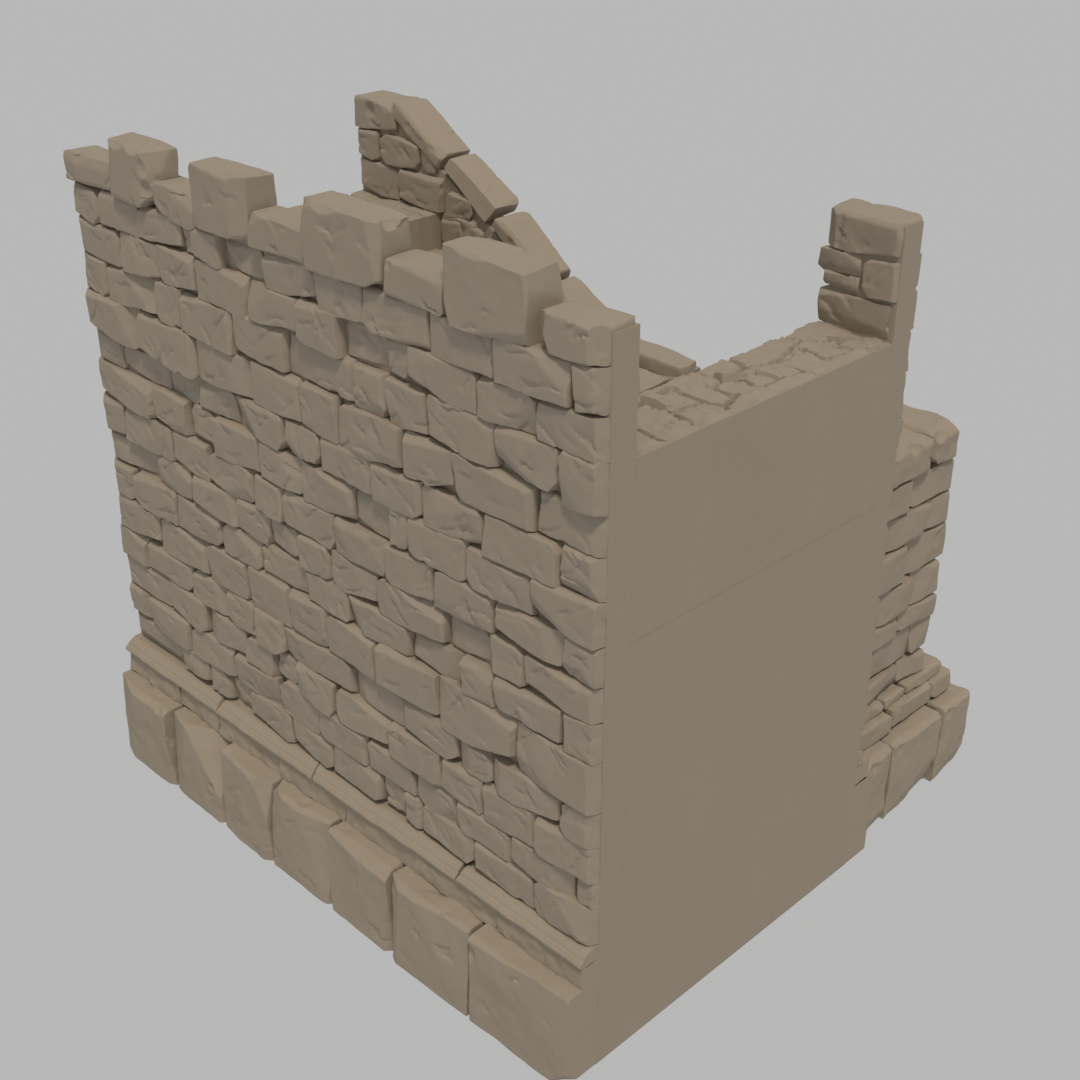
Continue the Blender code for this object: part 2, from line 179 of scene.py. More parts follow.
def shell(us, vs, ws):
    """A closed box: a grid on its top (w) side, rings down its sides, one back face."""
    nu, nv = len(us), len(vs)
    grid_u, grid_v = np.meshgrid(us, vs, indexing="ij")
    top = np.column_stack((grid_u.ravel(), grid_v.ravel(), np.full(nu * nv, ws[-1])))
    index = np.arange(nu * nv).reshape(nu, nv)
    quads = np.stack((index[:-1, :-1], index[1:, :-1], index[1:, 1:], index[:-1, 1:]),
                     axis=-1).reshape(-1, 4)
    loop = np.concatenate((index[:-1, 0], index[-1, :-1], index[:0:-1, -1], index[0, :0:-1]))
    points, faces = [top], [quads]
    upper, count = loop, nu * nv
    for level in ws[-2::-1]:
        ring = top[loop].copy()
        ring[:, 2] = level
        lower = count + np.arange(len(loop))
        faces.append(np.stack((upper, lower, np.roll(lower, -1), np.roll(upper, -1)), axis=-1))
        points.append(ring)
        upper, count = lower, count + len(loop)
    return np.concatenate(points), np.concatenate(faces), upper[::-1]


class Sculpture:
    """Gathers stones into one mesh object."""

    def __init__(self, name):
        self.name = name
        self.points = []
        self.quads = []
        self.caps = []
        self.count = 0

    def add(self, points, quads, *caps):
        self.points.append(points)
        self.quads.append(quads + self.count)
        self.caps += [cap + self.count for cap in caps]
        self.count += len(points)

    def build(self, slot, *nodes):
        points = to_world(np.concatenate(self.points))
        points = np.clip(points, cad_low, cad_high)
        quads = np.concatenate(self.quads)
        mesh = bpy.data.meshes.new(self.name)
        sizes = np.concatenate((np.full(len(quads), 4),
                                [len(cap) for cap in self.caps])).astype(np.int32)
        corners = np.concatenate([quads.ravel(), *self.caps]).astype(np.int32)
        mesh.vertices.add(len(points))
        mesh.vertices.foreach_set("co", points.astype(np.float32).ravel())
        mesh.loops.add(len(corners))
        mesh.loops.foreach_set("vertex_index", corners)
        mesh.polygons.add(len(sizes))
        starts = np.concatenate(([0], np.cumsum(sizes)[:-1])).astype(np.int32)
        mesh.polygons.foreach_set("loop_start", starts)
        mesh.polygons.foreach_set("loop_total", sizes)
        mesh.polygons.foreach_set("use_smooth", np.ones(len(sizes), bool))
        mesh.update(calc_edges=True)
        mesh.validate()
        mesh.set_sharp_from_angle(angle=math.radians(36.0))
        mesh.materials.append(MATERIALS[slot])
        piece = add_to_scene(self.name, mesh)
        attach(piece, "root")
        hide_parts(*nodes)


def numbered_block(name, number, seed, slot, node, low, high, planes, bites, **how):
    """One sculpted block of a numbered run, standing for one node of the CAD."""
    piece = Sculpture(f"{name}_{number}")
    big_block(piece, seeded(seed + number), low, high, planes, bites, **how)
    piece.build(slot, f"{node}_{number}")


def placed(points, basis, origin):
    return points @ np.array(basis, float) + np.asarray(origin, float)


# Stones

def wall_stone(target, rng, basis, origin, size, proud, end_left=0.0, end_right=0.0,
               pitch=0.34, facets=1.0, lip=-0.15):
    """One facing stone: (u, v) across the face from `origin`, w outwards.

    end_left and end_right are the widths of the long chamfers on a tile's cut ends,
    and lip is how far the stone stands out at the very end.
    """
    a, b = size
    c = proud + EMBED
    levels = np.array((0.0, 0.25, 0.42, 0.56, 0.68, 0.78, 0.87, 0.94, 1.0)) * (c + 0.5)
    points, quads, cap = shell(cuts_along(a, pitch), cuts_along(b, pitch), levels)
    seed = int(rng.integers(1, 5000))
    tilt = rng.normal(0.0, 0.035, 2) * facets
    cut(points, (tilt[0], tilt[1], 1.0), (a / 2, b / 2, c), 0.1)

    side = np.array((rng.uniform(0.15, 0.6), rng.uniform(0.3, 1.0)))
    fall = np.array((rng.uniform(0.5, 1.2), rng.uniform(0.4, 1.1)))
    if end_left:
        side[0], fall[0] = end_left, c - EMBED - lip
    if end_right:
        side[1], fall[1] = end_right, c - EMBED - lip
    upper, upper_fall = rng.uniform(0.3, 0.95), rng.uniform(0.4, 0.9)
    lower, lower_fall = rng.uniform(0.08, 0.35), rng.uniform(0.3, 0.8)
    skew = rng.normal(0.0, 0.06, 4)
    cut(points, (-fall[0], skew[0], side[0]), (side[0], b / 2, c))
    cut(points, (fall[1], skew[1], side[1]), (a - side[1], b / 2, c))
    cut(points, (skew[2], upper_fall, upper), (a / 2, b - upper, c))
    cut(points, (skew[3], -lower_fall, lower), (a / 2, lower, c))

    for u, v in ((0, 0), (a, 0), (a, b), (0, b)):
        at_end = (end_left and u == 0) or (end_right and u == a)
        depth = rng.uniform(0.1, 1.0) ** 2 * 1.6 * (0.35 if at_end else 1.0)
        turn = math.copysign(rng.uniform(0.5, 1.7), v - b / 2)
        normal = unit((math.copysign(1.0, u - a / 2), turn, rng.uniform(0.0, 0.6)))
        clip(points, normal, normal @ np.array((u, v, c)) - depth)

    for _ in range(int(rng.integers(0, 3) * facets + 0.5)):
        angle = rng.uniform(0, 2 * math.pi)
        u, v = math.cos(angle), math.sin(angle)
        slope = 0.08 + 0.42 * rng.random() ** 2
        reach = rng.uniform(0.15, 0.42)
        cut(points, (u * slope, v * slope, 1.0), (a / 2 + reach * a * u, b / 2 + reach * b * v, c), 0.03)
    for _ in range(int(rng.integers(0, 3) * facets + 0.5)):
        radius, sink = rng.uniform(1.0, 3.4), rng.uniform(0.2, 0.7)
        edge, where = rng.integers(0, 4), rng.uniform(0.12, 0.88)
        if (end_left and edge == 2) or (end_right and edge == 3):
            continue
        u, v, out_u, out_v = ((where * a, 0, 0, -1), (where * a, b, 0, 1),
                              (0, where * b, -1, 0), (a, where * b, 1, 0))[edge]
        away = unit((out_u, out_v, rng.uniform(0.2, 1.2)))
        bite(points, np.array((u, v, c)) + away * (radius - sink), radius)
    for _ in range(int(rng.integers(2, 6))):
        middle = np.array((*rng.uniform(0.1, 0.9, 2) * (a, b), c))
        angle = rng.uniform(-1.1, 1.1) + math.pi * rng.integers(0, 2)
        heading = np.array((math.cos(angle), math.sin(angle), 0.0)) * rng.uniform(1.6, 4.6)
        crease(points, middle - heading, middle + heading, rng.uniform(0.14, 0.44) * facets,
               rng.uniform(0.3, 1.6), (0.0, 0.0, -1.0), seed)
    points += wander(points, 4.6, seed) * (0.22, 0.2, 0.12)
    points += wander(points, 1.9, seed + 7) * (0.1, 0.1, 0.06)
    points[:, 2] += noise(points, 0.8, seed + 9) * 0.028
    if end_left:
        points[:, 0] = np.maximum(points[:, 0], SEAM)
    if end_right:
        points[:, 0] = np.minimum(points[:, 0], a - SEAM)
    points[:, 2] -= EMBED
    target.add(placed(points, basis, origin), quads, cap)


def big_block(target, rng, low, high, planes=(), bites=(), bevel=(0.4, 1.1),
              flat_right=False, flat_left=False, pitch=0.5, wave=0.3, basis=BASIS_UP,
              origin=(0.0, 0.0, 0.0), keep=(), creases=3):
    """A block seen from several sides, with its worst wear listed.

    planes holds cuts as a normal's and a point's (x, y, z), bites holds balls as
    (x, y, z, radius), and keep holds the faces that stay plain as (axis, sign).
    """
    low, high = np.array(low, float), np.array(high, float)
    size = high - low
    points, quads, cap = shell(*(cuts_along(length, pitch) for length in size))
    points += low
    seed = int(rng.integers(1, 5000))
    centre = (low + high) / 2
    limits = {-1: low, 1: high}
    plain = {*keep, *[(0, 1)] * flat_right, *[(0, -1)] * flat_left}
    for axis, sign in itertools.product(range(3), (-1, 1)):
        normal = rng.normal(0.0, 0.018, 3)
        normal[axis] = sign
        face = centre.copy()
        face[axis] = limits[sign][axis] - 0.08 * sign
        if (axis, sign) not in plain:
            cut(points, normal, face, 0.1)
    for (first, second), sign_a, sign_b in itertools.product(((0, 1), (1, 2), (0, 2)), (-1, 1), (-1, 1)):
        if (first, sign_a) in plain or (second, sign_b) in plain:
            continue
        width = rng.uniform(*bevel, 2)
        normal = rng.normal(0.0, 0.06, 3)
        normal[first] = sign_a * width[1]
        normal[second] = sign_b * width[0]
        at = centre.copy()
        at[first] = limits[sign_a][first] - sign_a * width[0]
        at[second] = limits[sign_b][second]
        cut(points, normal, at)
    for plane in planes:
        cut(points, plane[:3], plane[3:])
    for *ball, radius in bites:
        bite(points, np.array(ball, float), radius)
    for _ in range(creases):
        axis = int(rng.choice((0, 1, 1, 1, 2, 2)))
        outward = -1 if axis == 1 else 1
        if basis is not BASIS_UP and axis == 1:
            outward = int(rng.choice((-1.0, 1.0)))
        start = rng.uniform(low + size * 0.1, high - size * 0.1)
        start[axis] = limits[outward][axis]
        inward = np.zeros(3)
        inward[axis] = -outward
        heading = unit(np.cross(inward, rng.normal(0.0, 1.0, 3)))
        end = start + heading * rng.uniform(2.5, 7.0)
        if axis > 0 or not flat_right:
            crease(points, start, end, rng.uniform(0.2, 0.55), rng.uniform(0.5, 2.0), inward, seed + 60)
    soft = wander(points, 6.5, seed) * wave + wander(points, 2.3, seed + 3) * wave * 0.33
    soft += wander(points, 0.9, seed + 5) * wave * 0.09
    if flat_right:
        soft[:, 0] *= ramp(high[0] - points[:, 0], 0.0, 2.0)
    if flat_left:
        soft[:, 0] *= ramp(points[:, 0] - low[0], 0.0, 2.0)
    points += soft
    if flat_right:
        points[:, 0] = np.minimum(points[:, 0], high[0] - SEAM)
    if flat_left:
        points[:, 0] = np.maximum(points[:, 0], low[0])
    target.add(placed(points, basis, origin), quads, cap)


# Front courses

BEDS = (30.2, 37.6, 45, 52.7, 60.5, 69.6, 77.2, 84.8, 93, 101, 108.3, 117, 125.4, 133.4, 140.4)
ROWS = tuple(zip(BEDS, BEDS[1:]))

# Stones of each course as (gap before it, right end, bottom and top over the course's
# bed), and how far it stands proud where that isn't NORMAL
NORMAL, BACK, DEEP, FORE = 2.3, 1.35, 0.75, 2.75
COURSES = (
    ((0, -130.2, 2.4, 7.2, BACK), (0.4, -119, 1, 7.1), (0.4, -111.2, 0.8, 7.4),
     (0.3, -103.7, 1.8, 7.2, BACK), (0.4, -88.4, 0.4, 7.4), (0.9, -74.2, 0.6, 7.2),
     (0.6, -58.6, 0.8, 7.8), (0.6, -51.2, 1, 7.6, BACK), (0.4, -46.3, 0.8, 7.8), (0.6, -30.6, 0.6, 7.4),
     (0.4, -14.9, 0.3, 7.2), (0.4, 0, 0.1, 7.8, FORE)),
    ((0, -142.2, 1.1, 7.8), (0.4, -125.4, 0.1, 7.6, FORE), (0.6, -108.6, 0, 7.6), (0.6, -92, -0.2, 7.6),
     (0.6, -77.9, -0.3, 8.4), (0.4, -62.4, 0.4, 7.8, FORE), (0.6, -47.6, 0.8, 7.4),
     (0.5, -35.9, -0.2, 7.2), (0.5, -20.9, 0, 6.7), (0.5, -5.4, 0.2, 6.6), (0.6, 0, 0.6, 6.6, BACK)),
    ((0, -132.2, 1, 8.3), (0.4, -118.2, 0.4, 8.4), (0.4, -102.9, 0.5, 7.4), (0.6, -92.6, 0.3, 7.4),
     (0.4, -84.5, 1.2, 7.4, BACK), (0.4, -72.2, 0.3, 8, FORE), (1.1, -55.2, 0.7, 7.9),
     (0.4, -39.6, 0.2, 7.6, FORE), (0.5, -28.3, -0.4, 7.4), (0.5, -14.3, -0.7, 7.4), (0.5, 0, -0.6, 7.3)),
    ((0, -140, 1.1, 8.3, FORE), (0.7, -122.2, 1.4, 7.9), (0.5, -109.2, 0.3, 7.8), (0.4, -98.2, 0.3, 8.2),
     (0.6, -88.2, -0.2, 7.9, FORE), (0.6, -66.3, 0.5, 7.9), (0.5, -50.2, 0.3, 7.6, BACK),
     (0.5, -34.8, 0.2, 7.7), (0.6, -25.7, 0, 6.9), (0.6, -8.5, -0.1, 6.7), (0.6, 0, -0.5, 6.9)),
    ((0, -133.8, 1.1, 8.9), (0.4, -115.2, 0.4, 8.7), (0.5, -100.1, 0.3, 9.5), (0.7, -85.4, 0.1, 10.1),
     (0.8, -72.7, 0.7, 9.7), (0.4, -57.7, 0.5, 9.3), (0.4, -39.6, 0.5, 9.7, FORE),
     (0.6, -19.3, -0.6, 9.9, FORE), (0.6, 0, -0.8, 9.7, FORE)),
    ((0, -142.2, 0.4, 7.9), (0.4, -125.2, 0.1, 8.3, FORE), (0.5, -108.2, 0.6, 8.2),
     (0.5, -94.3, 0.6, 7.8), (0.5, -79, 1.4, 8, BACK), (0.5, -65.4, 1, 7.9), (0.4, -47.8, 0.4, 7.6),
     (0.7, -33.2, 1.2, 7.3, BACK), (0.7, -24.6, 0.8, 7.8, FORE), (0.5, -8.1, 1.3, 7.8),
     (0.5, 0, 0.6, 8.4)),
    ((0, -131.2, 1.4, 7.4, DEEP), (0.4, -117.3, 1, 8.2), (0.5, -101.2, 1, 8.1), (0.5, -90.2, 0.6, 8),
     (0.4, -80.8, 1.4, 7.2, BACK), (0.4, -70.3, 0.4, 7.6), (0.5, -56.2, 0.4, 7.6),
     (0.5, -37.6, 0, 7.7, FORE), (0.5, -25.4, 0.8, 7, DEEP), (0.4, -17.2, 0.7, 8.3), (0.4, 0, 1.2, 7.7)),
    ((0, -142.3, 1, 8.6), (0.4, -123.7, 0.9, 8.6), (0.7, -110.4, 0.8, 8.8), (0.4, -94.6, 0.8, 8.2),
     (0.7, -84.6, 0.5, 8.1), (0.5, -68.3, 0.4, 8.1), (0.4, -53.2, 0.5, 8), (0.5, -40.2, 0.4, 8),
     (0.5, -24.8, 0.4, 8), (0.8, -8.1, 1.4, 7.8), (0.4, 0, 0.5, 8)),
    ((0, -129.4, 0.9, 8.6), (0.4, -116.2, 1, 8.8), (0.6, -107.3, 1.9, 8.8, BACK),
     (0.4, -91.2, 0.2, 8.6), (0.5, -77.8, 0.6, 8), (0.4, -62.2, 0.2, 8.2), (0.4, -52.4, 0.4, 7.4, BACK),
     (0.6, -46.4, 0.4, 8.5), (0.5, -31.3, 0.1, 8), (0.4, -15.3, 0, 7.4), (0.4, 0, 0.2, 8.2)),
    ((0, -140.6, 1, 7.6, BACK), (0.6, -123.4, 1.2, 7.2, DEEP), (0.6, -112.2, 0.8, 7.2, DEEP),
     (0.4, -98.8, 1.2, 7.6, BACK), (0.4, -81.8, 0.6, 7.8), (0.5, -71, 0.8, 7.7), (0.4, -55.9, 0.6, 7.6),
     (0.5, -42.5, -0.1, 7.5, FORE), (0.4, -26.7, 0, 7.5), (0.4, -9, -0.3, 7.6), (0.5, 0, 0.6, 8.2)),
    ((0, -131.2, 0.7, 9.6, FORE), (0.4, -110.2, 0.4, 9.5, FORE), (0.6, -91.7, 0.7, 9.3),
     (0.5, -76.2, 0.8, 9.2), (0.4, -65, 0.5, 9.4), (0.6, -46.6, 0.3, 9.1, FORE), (0.6, -33.8, 0.7, 9),
     (0.5, -14.9, 0.7, 8.9), (0.7, 0, 1.1, 8.7, BACK)),
    ((0, -141.7, 1.1, 9), (0.6, -122.8, 1.2, 8.6), (0.6, -113.7, 1, 9.4), (0.4, -96.2, 0.6, 9, FORE),
     (0.7, -79.9, 1.4, 9.6), (0.5, -60, 1.3, 9, BACK), (0.4, -50.9, 0.7, 8.8), (0.4, -40.2, 0.5, 8.7),
     (0.4, -23.6, 0.7, 8.8), (0.4, -9.2, 1, 8.4), (0.5, 0, -0.2, 9, FORE)),
    ((0, -134.9, 0.8, 8), (0.5, -120.2, 0.8, 8.4), (0.4, -107.3, 1.3, 8.8), (0.4, -90.4, 0.8, 8.7),
     (0.6, -74.9, 1.4, 8.4), (0.5, -62.8, 0.4, 8.5, FORE), (0.6, -50.6, 1.2, 7.8, DEEP),
     (0.4, -44.1, 1.3, 7.6, BACK), (0.4, -27.8, 0.6, 7.6), (0.4, -14.3, 0.4, 7.6), (0.5, 0, 0.5, 7.5)),
    ((0, -140.9, 0.4, 7.2), (0.7, -126.4, 0.8, 7.8), (0.5, -110.9, 1.4, 7.7),
     (0.5, -107, 1.6, 7.4, BACK), (0.5, -98.1, 0.9, 7.5), (0.8, -84.9, 1.2, 6.8, DEEP),
     (0.9, -69, 0.6, 7.5), (0.7, -55.9, 0.1, 7.5), (0.5, -38.9, -0.2, 7.5), (0.5, -23.4, -0.3, 7.3),
     (0.6, -6.6, -0.3, 7.5, FORE), (0.7, 0, 0.1, 7.5)),
)


def make_front():
    for row, stones in enumerate(COURSES):
        rng = seeded(100 + row)
        course = Sculpture(f"stones_course_{row + 1:02d}")
        end = LEFT_END
        for gap, right, low, high, *proud in stones:
            left, end = end + gap, right
            left -= 0.1 if left > LEFT_END else 0.0
            right += 0.1 if right < RIGHT_END else 0.0
            wall_stone(course, rng, BASIS_FRONT, (left, 0, BEDS[row] + low - 0.1),
                       (right - left, high - low + 0.2),
                       (proud[0] if proud else NORMAL) + rng.uniform(-0.25, 0.2),
                       end_left=rng.uniform(1.6, 3.4) if left == LEFT_END else 0,
                       end_right=rng.uniform(0.5, 2.2) if right == RIGHT_END else 0)
        course.build("wall_stone", f"front_course_{row + 1:02d}")


def face_stones(target, rng, basis, corner, row, spans, proud, pitch=0.55, ends=(0, 0), lip=-0.15):
    """Stones of one course on an upright plane, with spans measured from its corner."""
    low, high = row
    for index, (start, end) in enumerate(spans):
        origin = np.array((*corner, low + 0.25)) + start * np.array(basis[0])
        wall_stone(target, rng, basis, origin, (end - start - 0.45, high - low - 0.5),
                   proud + rng.uniform(-0.35, 0.25), ends[0] if index == 0 else 0,
                   ends[1] if index == len(spans) - 1 else 0, pitch, lip=lip)


def spans_between(rng, start, end, shortest=8.0, longest=18.0):
    """Random stone lengths that fill a stretch."""
    edges = [start]
    while end - edges[-1] > longest:
        edges.append(edges[-1] + rng.uniform(shortest, longest))
    if end - edges[-1] < shortest * 0.6 and len(edges) > 1:
        edges.pop()
    edges.append(end)
    return list(zip(edges, edges[1:]))


def slab(target, low, high, tops=None, pitch=4.0):
    """A flat-sided block, whose top may follow a height given at each x."""
    low, high = np.array(low, float), np.array(high, float)
    us = np.linspace(low[0], high[0], max(2, int((high[0] - low[0]) / pitch) + 1))
    vs = np.linspace(low[1], high[1], 5)
    points, quads, cap = shell(us, vs, np.linspace(0, 1, 9))
    top = np.full(len(points), high[2]) if tops is None else tops(points[:, 0])
    points[:, 2] = low[2] + points[:, 2] * (top - low[2])
    target.add(points, quads, cap)


def relief(target, rng, low, high, grooves, sway=0.22, ragged=(0, 0), pitch=0.45, step=0.3):
    """A block whose top is worn paving, grooved along (x1, y1, x2, y2, width, depth)."""
    low, high = np.array(low, float), np.array(high, float)
    wide, long, height = high - low
    levels = height - np.array((height, height * 0.5, 4, 2.6, 1.7, 1, 0.6, 0.3, 0))
    points, quads, cap = shell(cuts_along(wide, pitch), cuts_along(long, pitch), levels)
    points += low
    seed = int(rng.integers(1, 5000))
    flat = points * (1, 1, 0)
    upper = ramp(points[:, 2], high[2] - 4.5, high[2] - 0.4)
    inside = 0.12 + 0.88 * ramp(high[0] - points[:, 0], 0.2, 1.5)
    drop = np.zeros(len(points))
    bend = noise(flat, 2.6, seed), noise(flat, 2.6, seed + 4)
    bent = points[:, :2] + 0.55 * np.stack(bend, axis=1)
    raggedness = 1.0 + 0.35 * noise(flat, 3.1, seed + 11)
    for x1, y1, x2, y2, width, depth in grooves:
        start, line = np.array((x1, y1)), np.array((x2 - x1, y2 - y1))
        length = np.linalg.norm(line)
        line = line / length
        along = np.clip((bent - start) @ line, 0, length)
        away = bent - start - along[:, None] * line
        side = away @ np.array((-line[1], line[0]))
        away = np.linalg.norm(away, axis=1)
        reach = width * raggedness
        groove = depth * 1.25 * (1.0 - ramp(away, reach * 0.15, reach * 0.95))
        lip = step * np.exp(-np.maximum(side, 0) / 2.2) * (side > 0) * (away < 6)
        lip *= 1.0 - ramp(away, 3, 6)
        drop = np.maximum(drop, groove + lip)
    swell = noise(flat, 7, seed + 21) * sway + noise(flat, 3.2, seed + 22) * sway * 0.6
    swell += noise(flat, 1.3, seed + 23) * sway * 0.2
    ledge = noise(flat, 4.2, seed + 25) * 2.2 + noise(flat, 1.9, seed + 26) * 0.5
    floor = np.floor(ledge)
    swell += step * (floor + ramp(ledge - floor, 0.42, 0.58)) * 0.8
    points[:, 2] += upper * (inside * (swell - drop) - sway)
    along_y = points * (0, 1, 0)
    for end, width in zip((low[0], high[0]), ragged):
        if width:
            pull = 1.0 - ramp(np.abs(points[:, 0] - end), 0, 4)
            shift = width * (noise(along_y, 6, seed + 31) + 0.6 * noise(along_y, 2, seed + 32))
            points[:, 0] += shift * pull * ramp(points[:, 2], high[2] - 7, high[2] - 2)
    target.add(points, quads, cap)


def flag_lines(rng, x0, x1, y0, y1, row=9.0, stone=13.0, width=0.5, depth=0.8):
    """Grooves between rows of random flagstones."""
    lines = []
    y = y0
    while y < y1 - row * 0.5:
        nxt = min(y + row * rng.uniform(0.8, 1.25), y1)
        if nxt < y1 - 1.0:
            lines.append((x0, nxt, x1, nxt + rng.uniform(-0.5, 0.5), width, depth))
        x = x0 + stone * rng.uniform(0.3, 0.9)
        while x < x1 - 3.0:
            lean = rng.uniform(-1.4, 1.4)
            lines.append((x, y, x + lean, nxt, width * rng.uniform(0.8, 1.3),
                          depth * rng.uniform(0.8, 1.2)))
            x += stone * rng.uniform(0.6, 1.4)
        y = nxt
    return lines


def sweep(target, rng, x0, x1, section, wave=0.12, chips=(), lean=(0, 0)):
    """A moulding: a (y, z) section run along x, worn, with leaning broken ends."""
    section = np.array(section, float)
    ring = []
    for start, end in zip(section, np.roll(section, -1, axis=0)):
        count = max(1, int(np.linalg.norm(end - start) / 0.3))
        ring += [start + (end - start) * k / count for k in range(count)]
    ring = np.array(ring)
    xs = cuts_along(x1 - x0, 0.45) + x0
    n, m = len(xs), len(ring)
    points = np.column_stack((np.repeat(xs, m), np.tile(ring, (n, 1))))
    low_z, high_z = ring[:, 1].min(), ring[:, 1].max()
    rise = (points[:, 2] - low_z) / (high_z - low_z)
    seed = int(rng.integers(1, 5000))
    shift = wander(points, 5, seed) * wave + wander(points, 1.6, seed + 3) * wave * 0.6
    front = ramp(-points[:, 1], -0.2, 1)
    ends = np.minimum(points[:, 0] - x0, x1 - points[:, 0])
    shift[:, 0] *= ramp(ends, 0, 2)
    points += shift * front[:, None]
    for *ball, radius in chips:
        bite(points, np.array(ball, float), radius)
    for x, slant in zip((x0, x1), lean):
        near = 1.0 - ramp(np.abs(points[:, 0] - x), 0, 5)
        points[:, 0] += near * slant * (rise - 0.5)
    index = np.arange(n * m).reshape(n, m)
    a, b = index[:-1], index[1:]
    quads = np.stack((a, b, np.roll(b, -1, axis=1), np.roll(a, -1, axis=1)), axis=-1).reshape(-1, 4)
    target.add(points, quads, index[0], index[-1][::-1])


# Battlements

def scallops(y, z, *places):
    """Balls along a top front edge, each given as x, radius and depth of its bite."""
    return [(x, y - (radius - sink) * 0.75, z + (radius - sink) * 0.66, radius)
            for x, radius, sink in places]


# Number, left, right, bottom, top, how far proud, back, planes and balls
TOP_BLOCKS = (
    (1, LEFT_END + 0.3, -133.4, 140.9, 148.1, 2.7, 4.7,
     ((0, -1, 0.35, -143, -2.5, 146), (-0.25, 0, 1, -149, 0, 147.8),
      (-1, -0.8, 0, -151.3, -2.5, 144)),
     ((-134, -4.6, 141.5, 2.2),)),
    (2, -133.2, -118, 141.1, 153.3, 3.5, 4.2,
     ((0.10, 0, 1, -125, 0, 152.9), (1, -0.3, 0.25, -118.9, 0, 151.5),
      (0.9, -0.5, -1, -119.2, -3, 144), (-0.5, -1, 0.1, -131.8, -3.3, 147)),
     (*scallops(-3.4, 153, (-128.6, 5.5, 1), (-122.8, 4.5, 1.2)),
      (-133, -4.4, 152.2, 1.7), (-119.2, -6.2, 149.6, 3.6),
      (-118.6, -5.6, 145, 3.4))),
    (3, -117.8, -104.4, 140.1, 147.4, 2.7, 4.8,
     ((-0.9, -0.5, -1, -116.6, -2.6, 142.2), (0.12, 0, 1, -110, 0, 147),
      (0.2, -1, 0.5, -110, -2.4, 146.2)),
     ((-117.4, -4.8, 147.6, 2.6), (-108, -5, 148.2, 3))),
    (4, -104, -87.3, 140.9, 153.4, 3.4, 4.9,
     ((-0.10, -1, 0, -98, -3.3, 147), (0.35, -1, 0, -91.2, -3.1, 147),
      (0, -0.8, 1, -96, -3.3, 152.9), (0.5, -1, -0.7, -89.4, -3.2, 143.4)),
     ((-89.6, 2, 156.2, 3.6), (-102.5, -5.6, 153, 2.6))),
    (5, -86.9, -70.3, 141, 147.7, 2.8, 4.9,
     ((0.06, 0, 1, -79, 0, 147.3), (-0.3, -1, 0.5, -84, -2.5, 146.5)),
     ((-70.2, -5, 146, 2.4), (-75.8, -4.8, 148.6, 2.6))),
    (6, -70, -49.3, 140.8, 153.4, 3.5, 4.4,
     ((0.05, 0, 1, -60, 0, 153.1), (0.55, -1, 0.1, -51, -3.2, 148),
      (0.6, -0.4, -1, -52, -3.4, 142), (-1, -0.9, 0.2, -69.4, -2.9, 150.5)),
     (*scallops(-3.3, 153, (-64, 10, 0.7)), (-48.6, 0.2, 153.5, 2.6),
      (-51, -6.2, 147.8, 3), (-49.9, -4.9, 149.4, 2),
      (-69.9, -4.6, 152.8, 2.2), (-60, -22.9, 145, 19.6))),
    (7, -48.9, -34.2, 140.5, 147.7, 2.8, 4.9,
     ((-0.02, 0, 1, -41, 0, 147.5), (0.1, -1, 0.7, -41, -2.5, 146.7)),
     ((-47.9, -4.3, 146.6, 2), (-38.3, -5.2, 148.6, 3.2))),
    (8, -34, -14.7, 139.9, 153.2, 3.6, 5.2,
     ((0.08, 0, 1, -25, 0, 152.9), (1, 0.1, 0.25, -15.1, 0, 150),
      (-1, -0.9, 0, -33.5, -2.8, 147), (0.15, -1, -0.6, -22, -3.4, 141.2)),
     (*scallops(-3.4, 153, (-26.5, 16, 0.5), (-18.5, 7, 0.5)),
      (-13, 1.8, 154.2, 3.3), (-14.4, -6.2, 147.6, 2.9),
      (-26.5, -22.9, 147.5, 19.4))),
    (9, -12.3, -0.2, 140.9, 147.6, 2.9, 5.6,
     ((-0.8, -0.8, -0.4, -11.6, -2.4, 142.5), (1, -0.9, 0, -0.15, -0.1, 144),
      (1, 0, 0.75, -0.5, 0, 147.3), (0, -0.9, 1, -6, -2.8, 147.1)),
     ((-8, -5.7, 147.6, 3.1),)),
)


def top_blocks():
    for number, left, right, low, high, proud, back, planes, balls in TOP_BLOCKS:
        numbered_block("battlement", number, 300, "wall_stone", "top_block", (left, -proud, low),
                       (right, back, high), planes, balls, pitch=0.36, wave=0.2,
                       bevel=(0.8, 1.7) if number == 1 else (0.3, 0.85), creases=3 if number == 1 else 6)


# Plinth

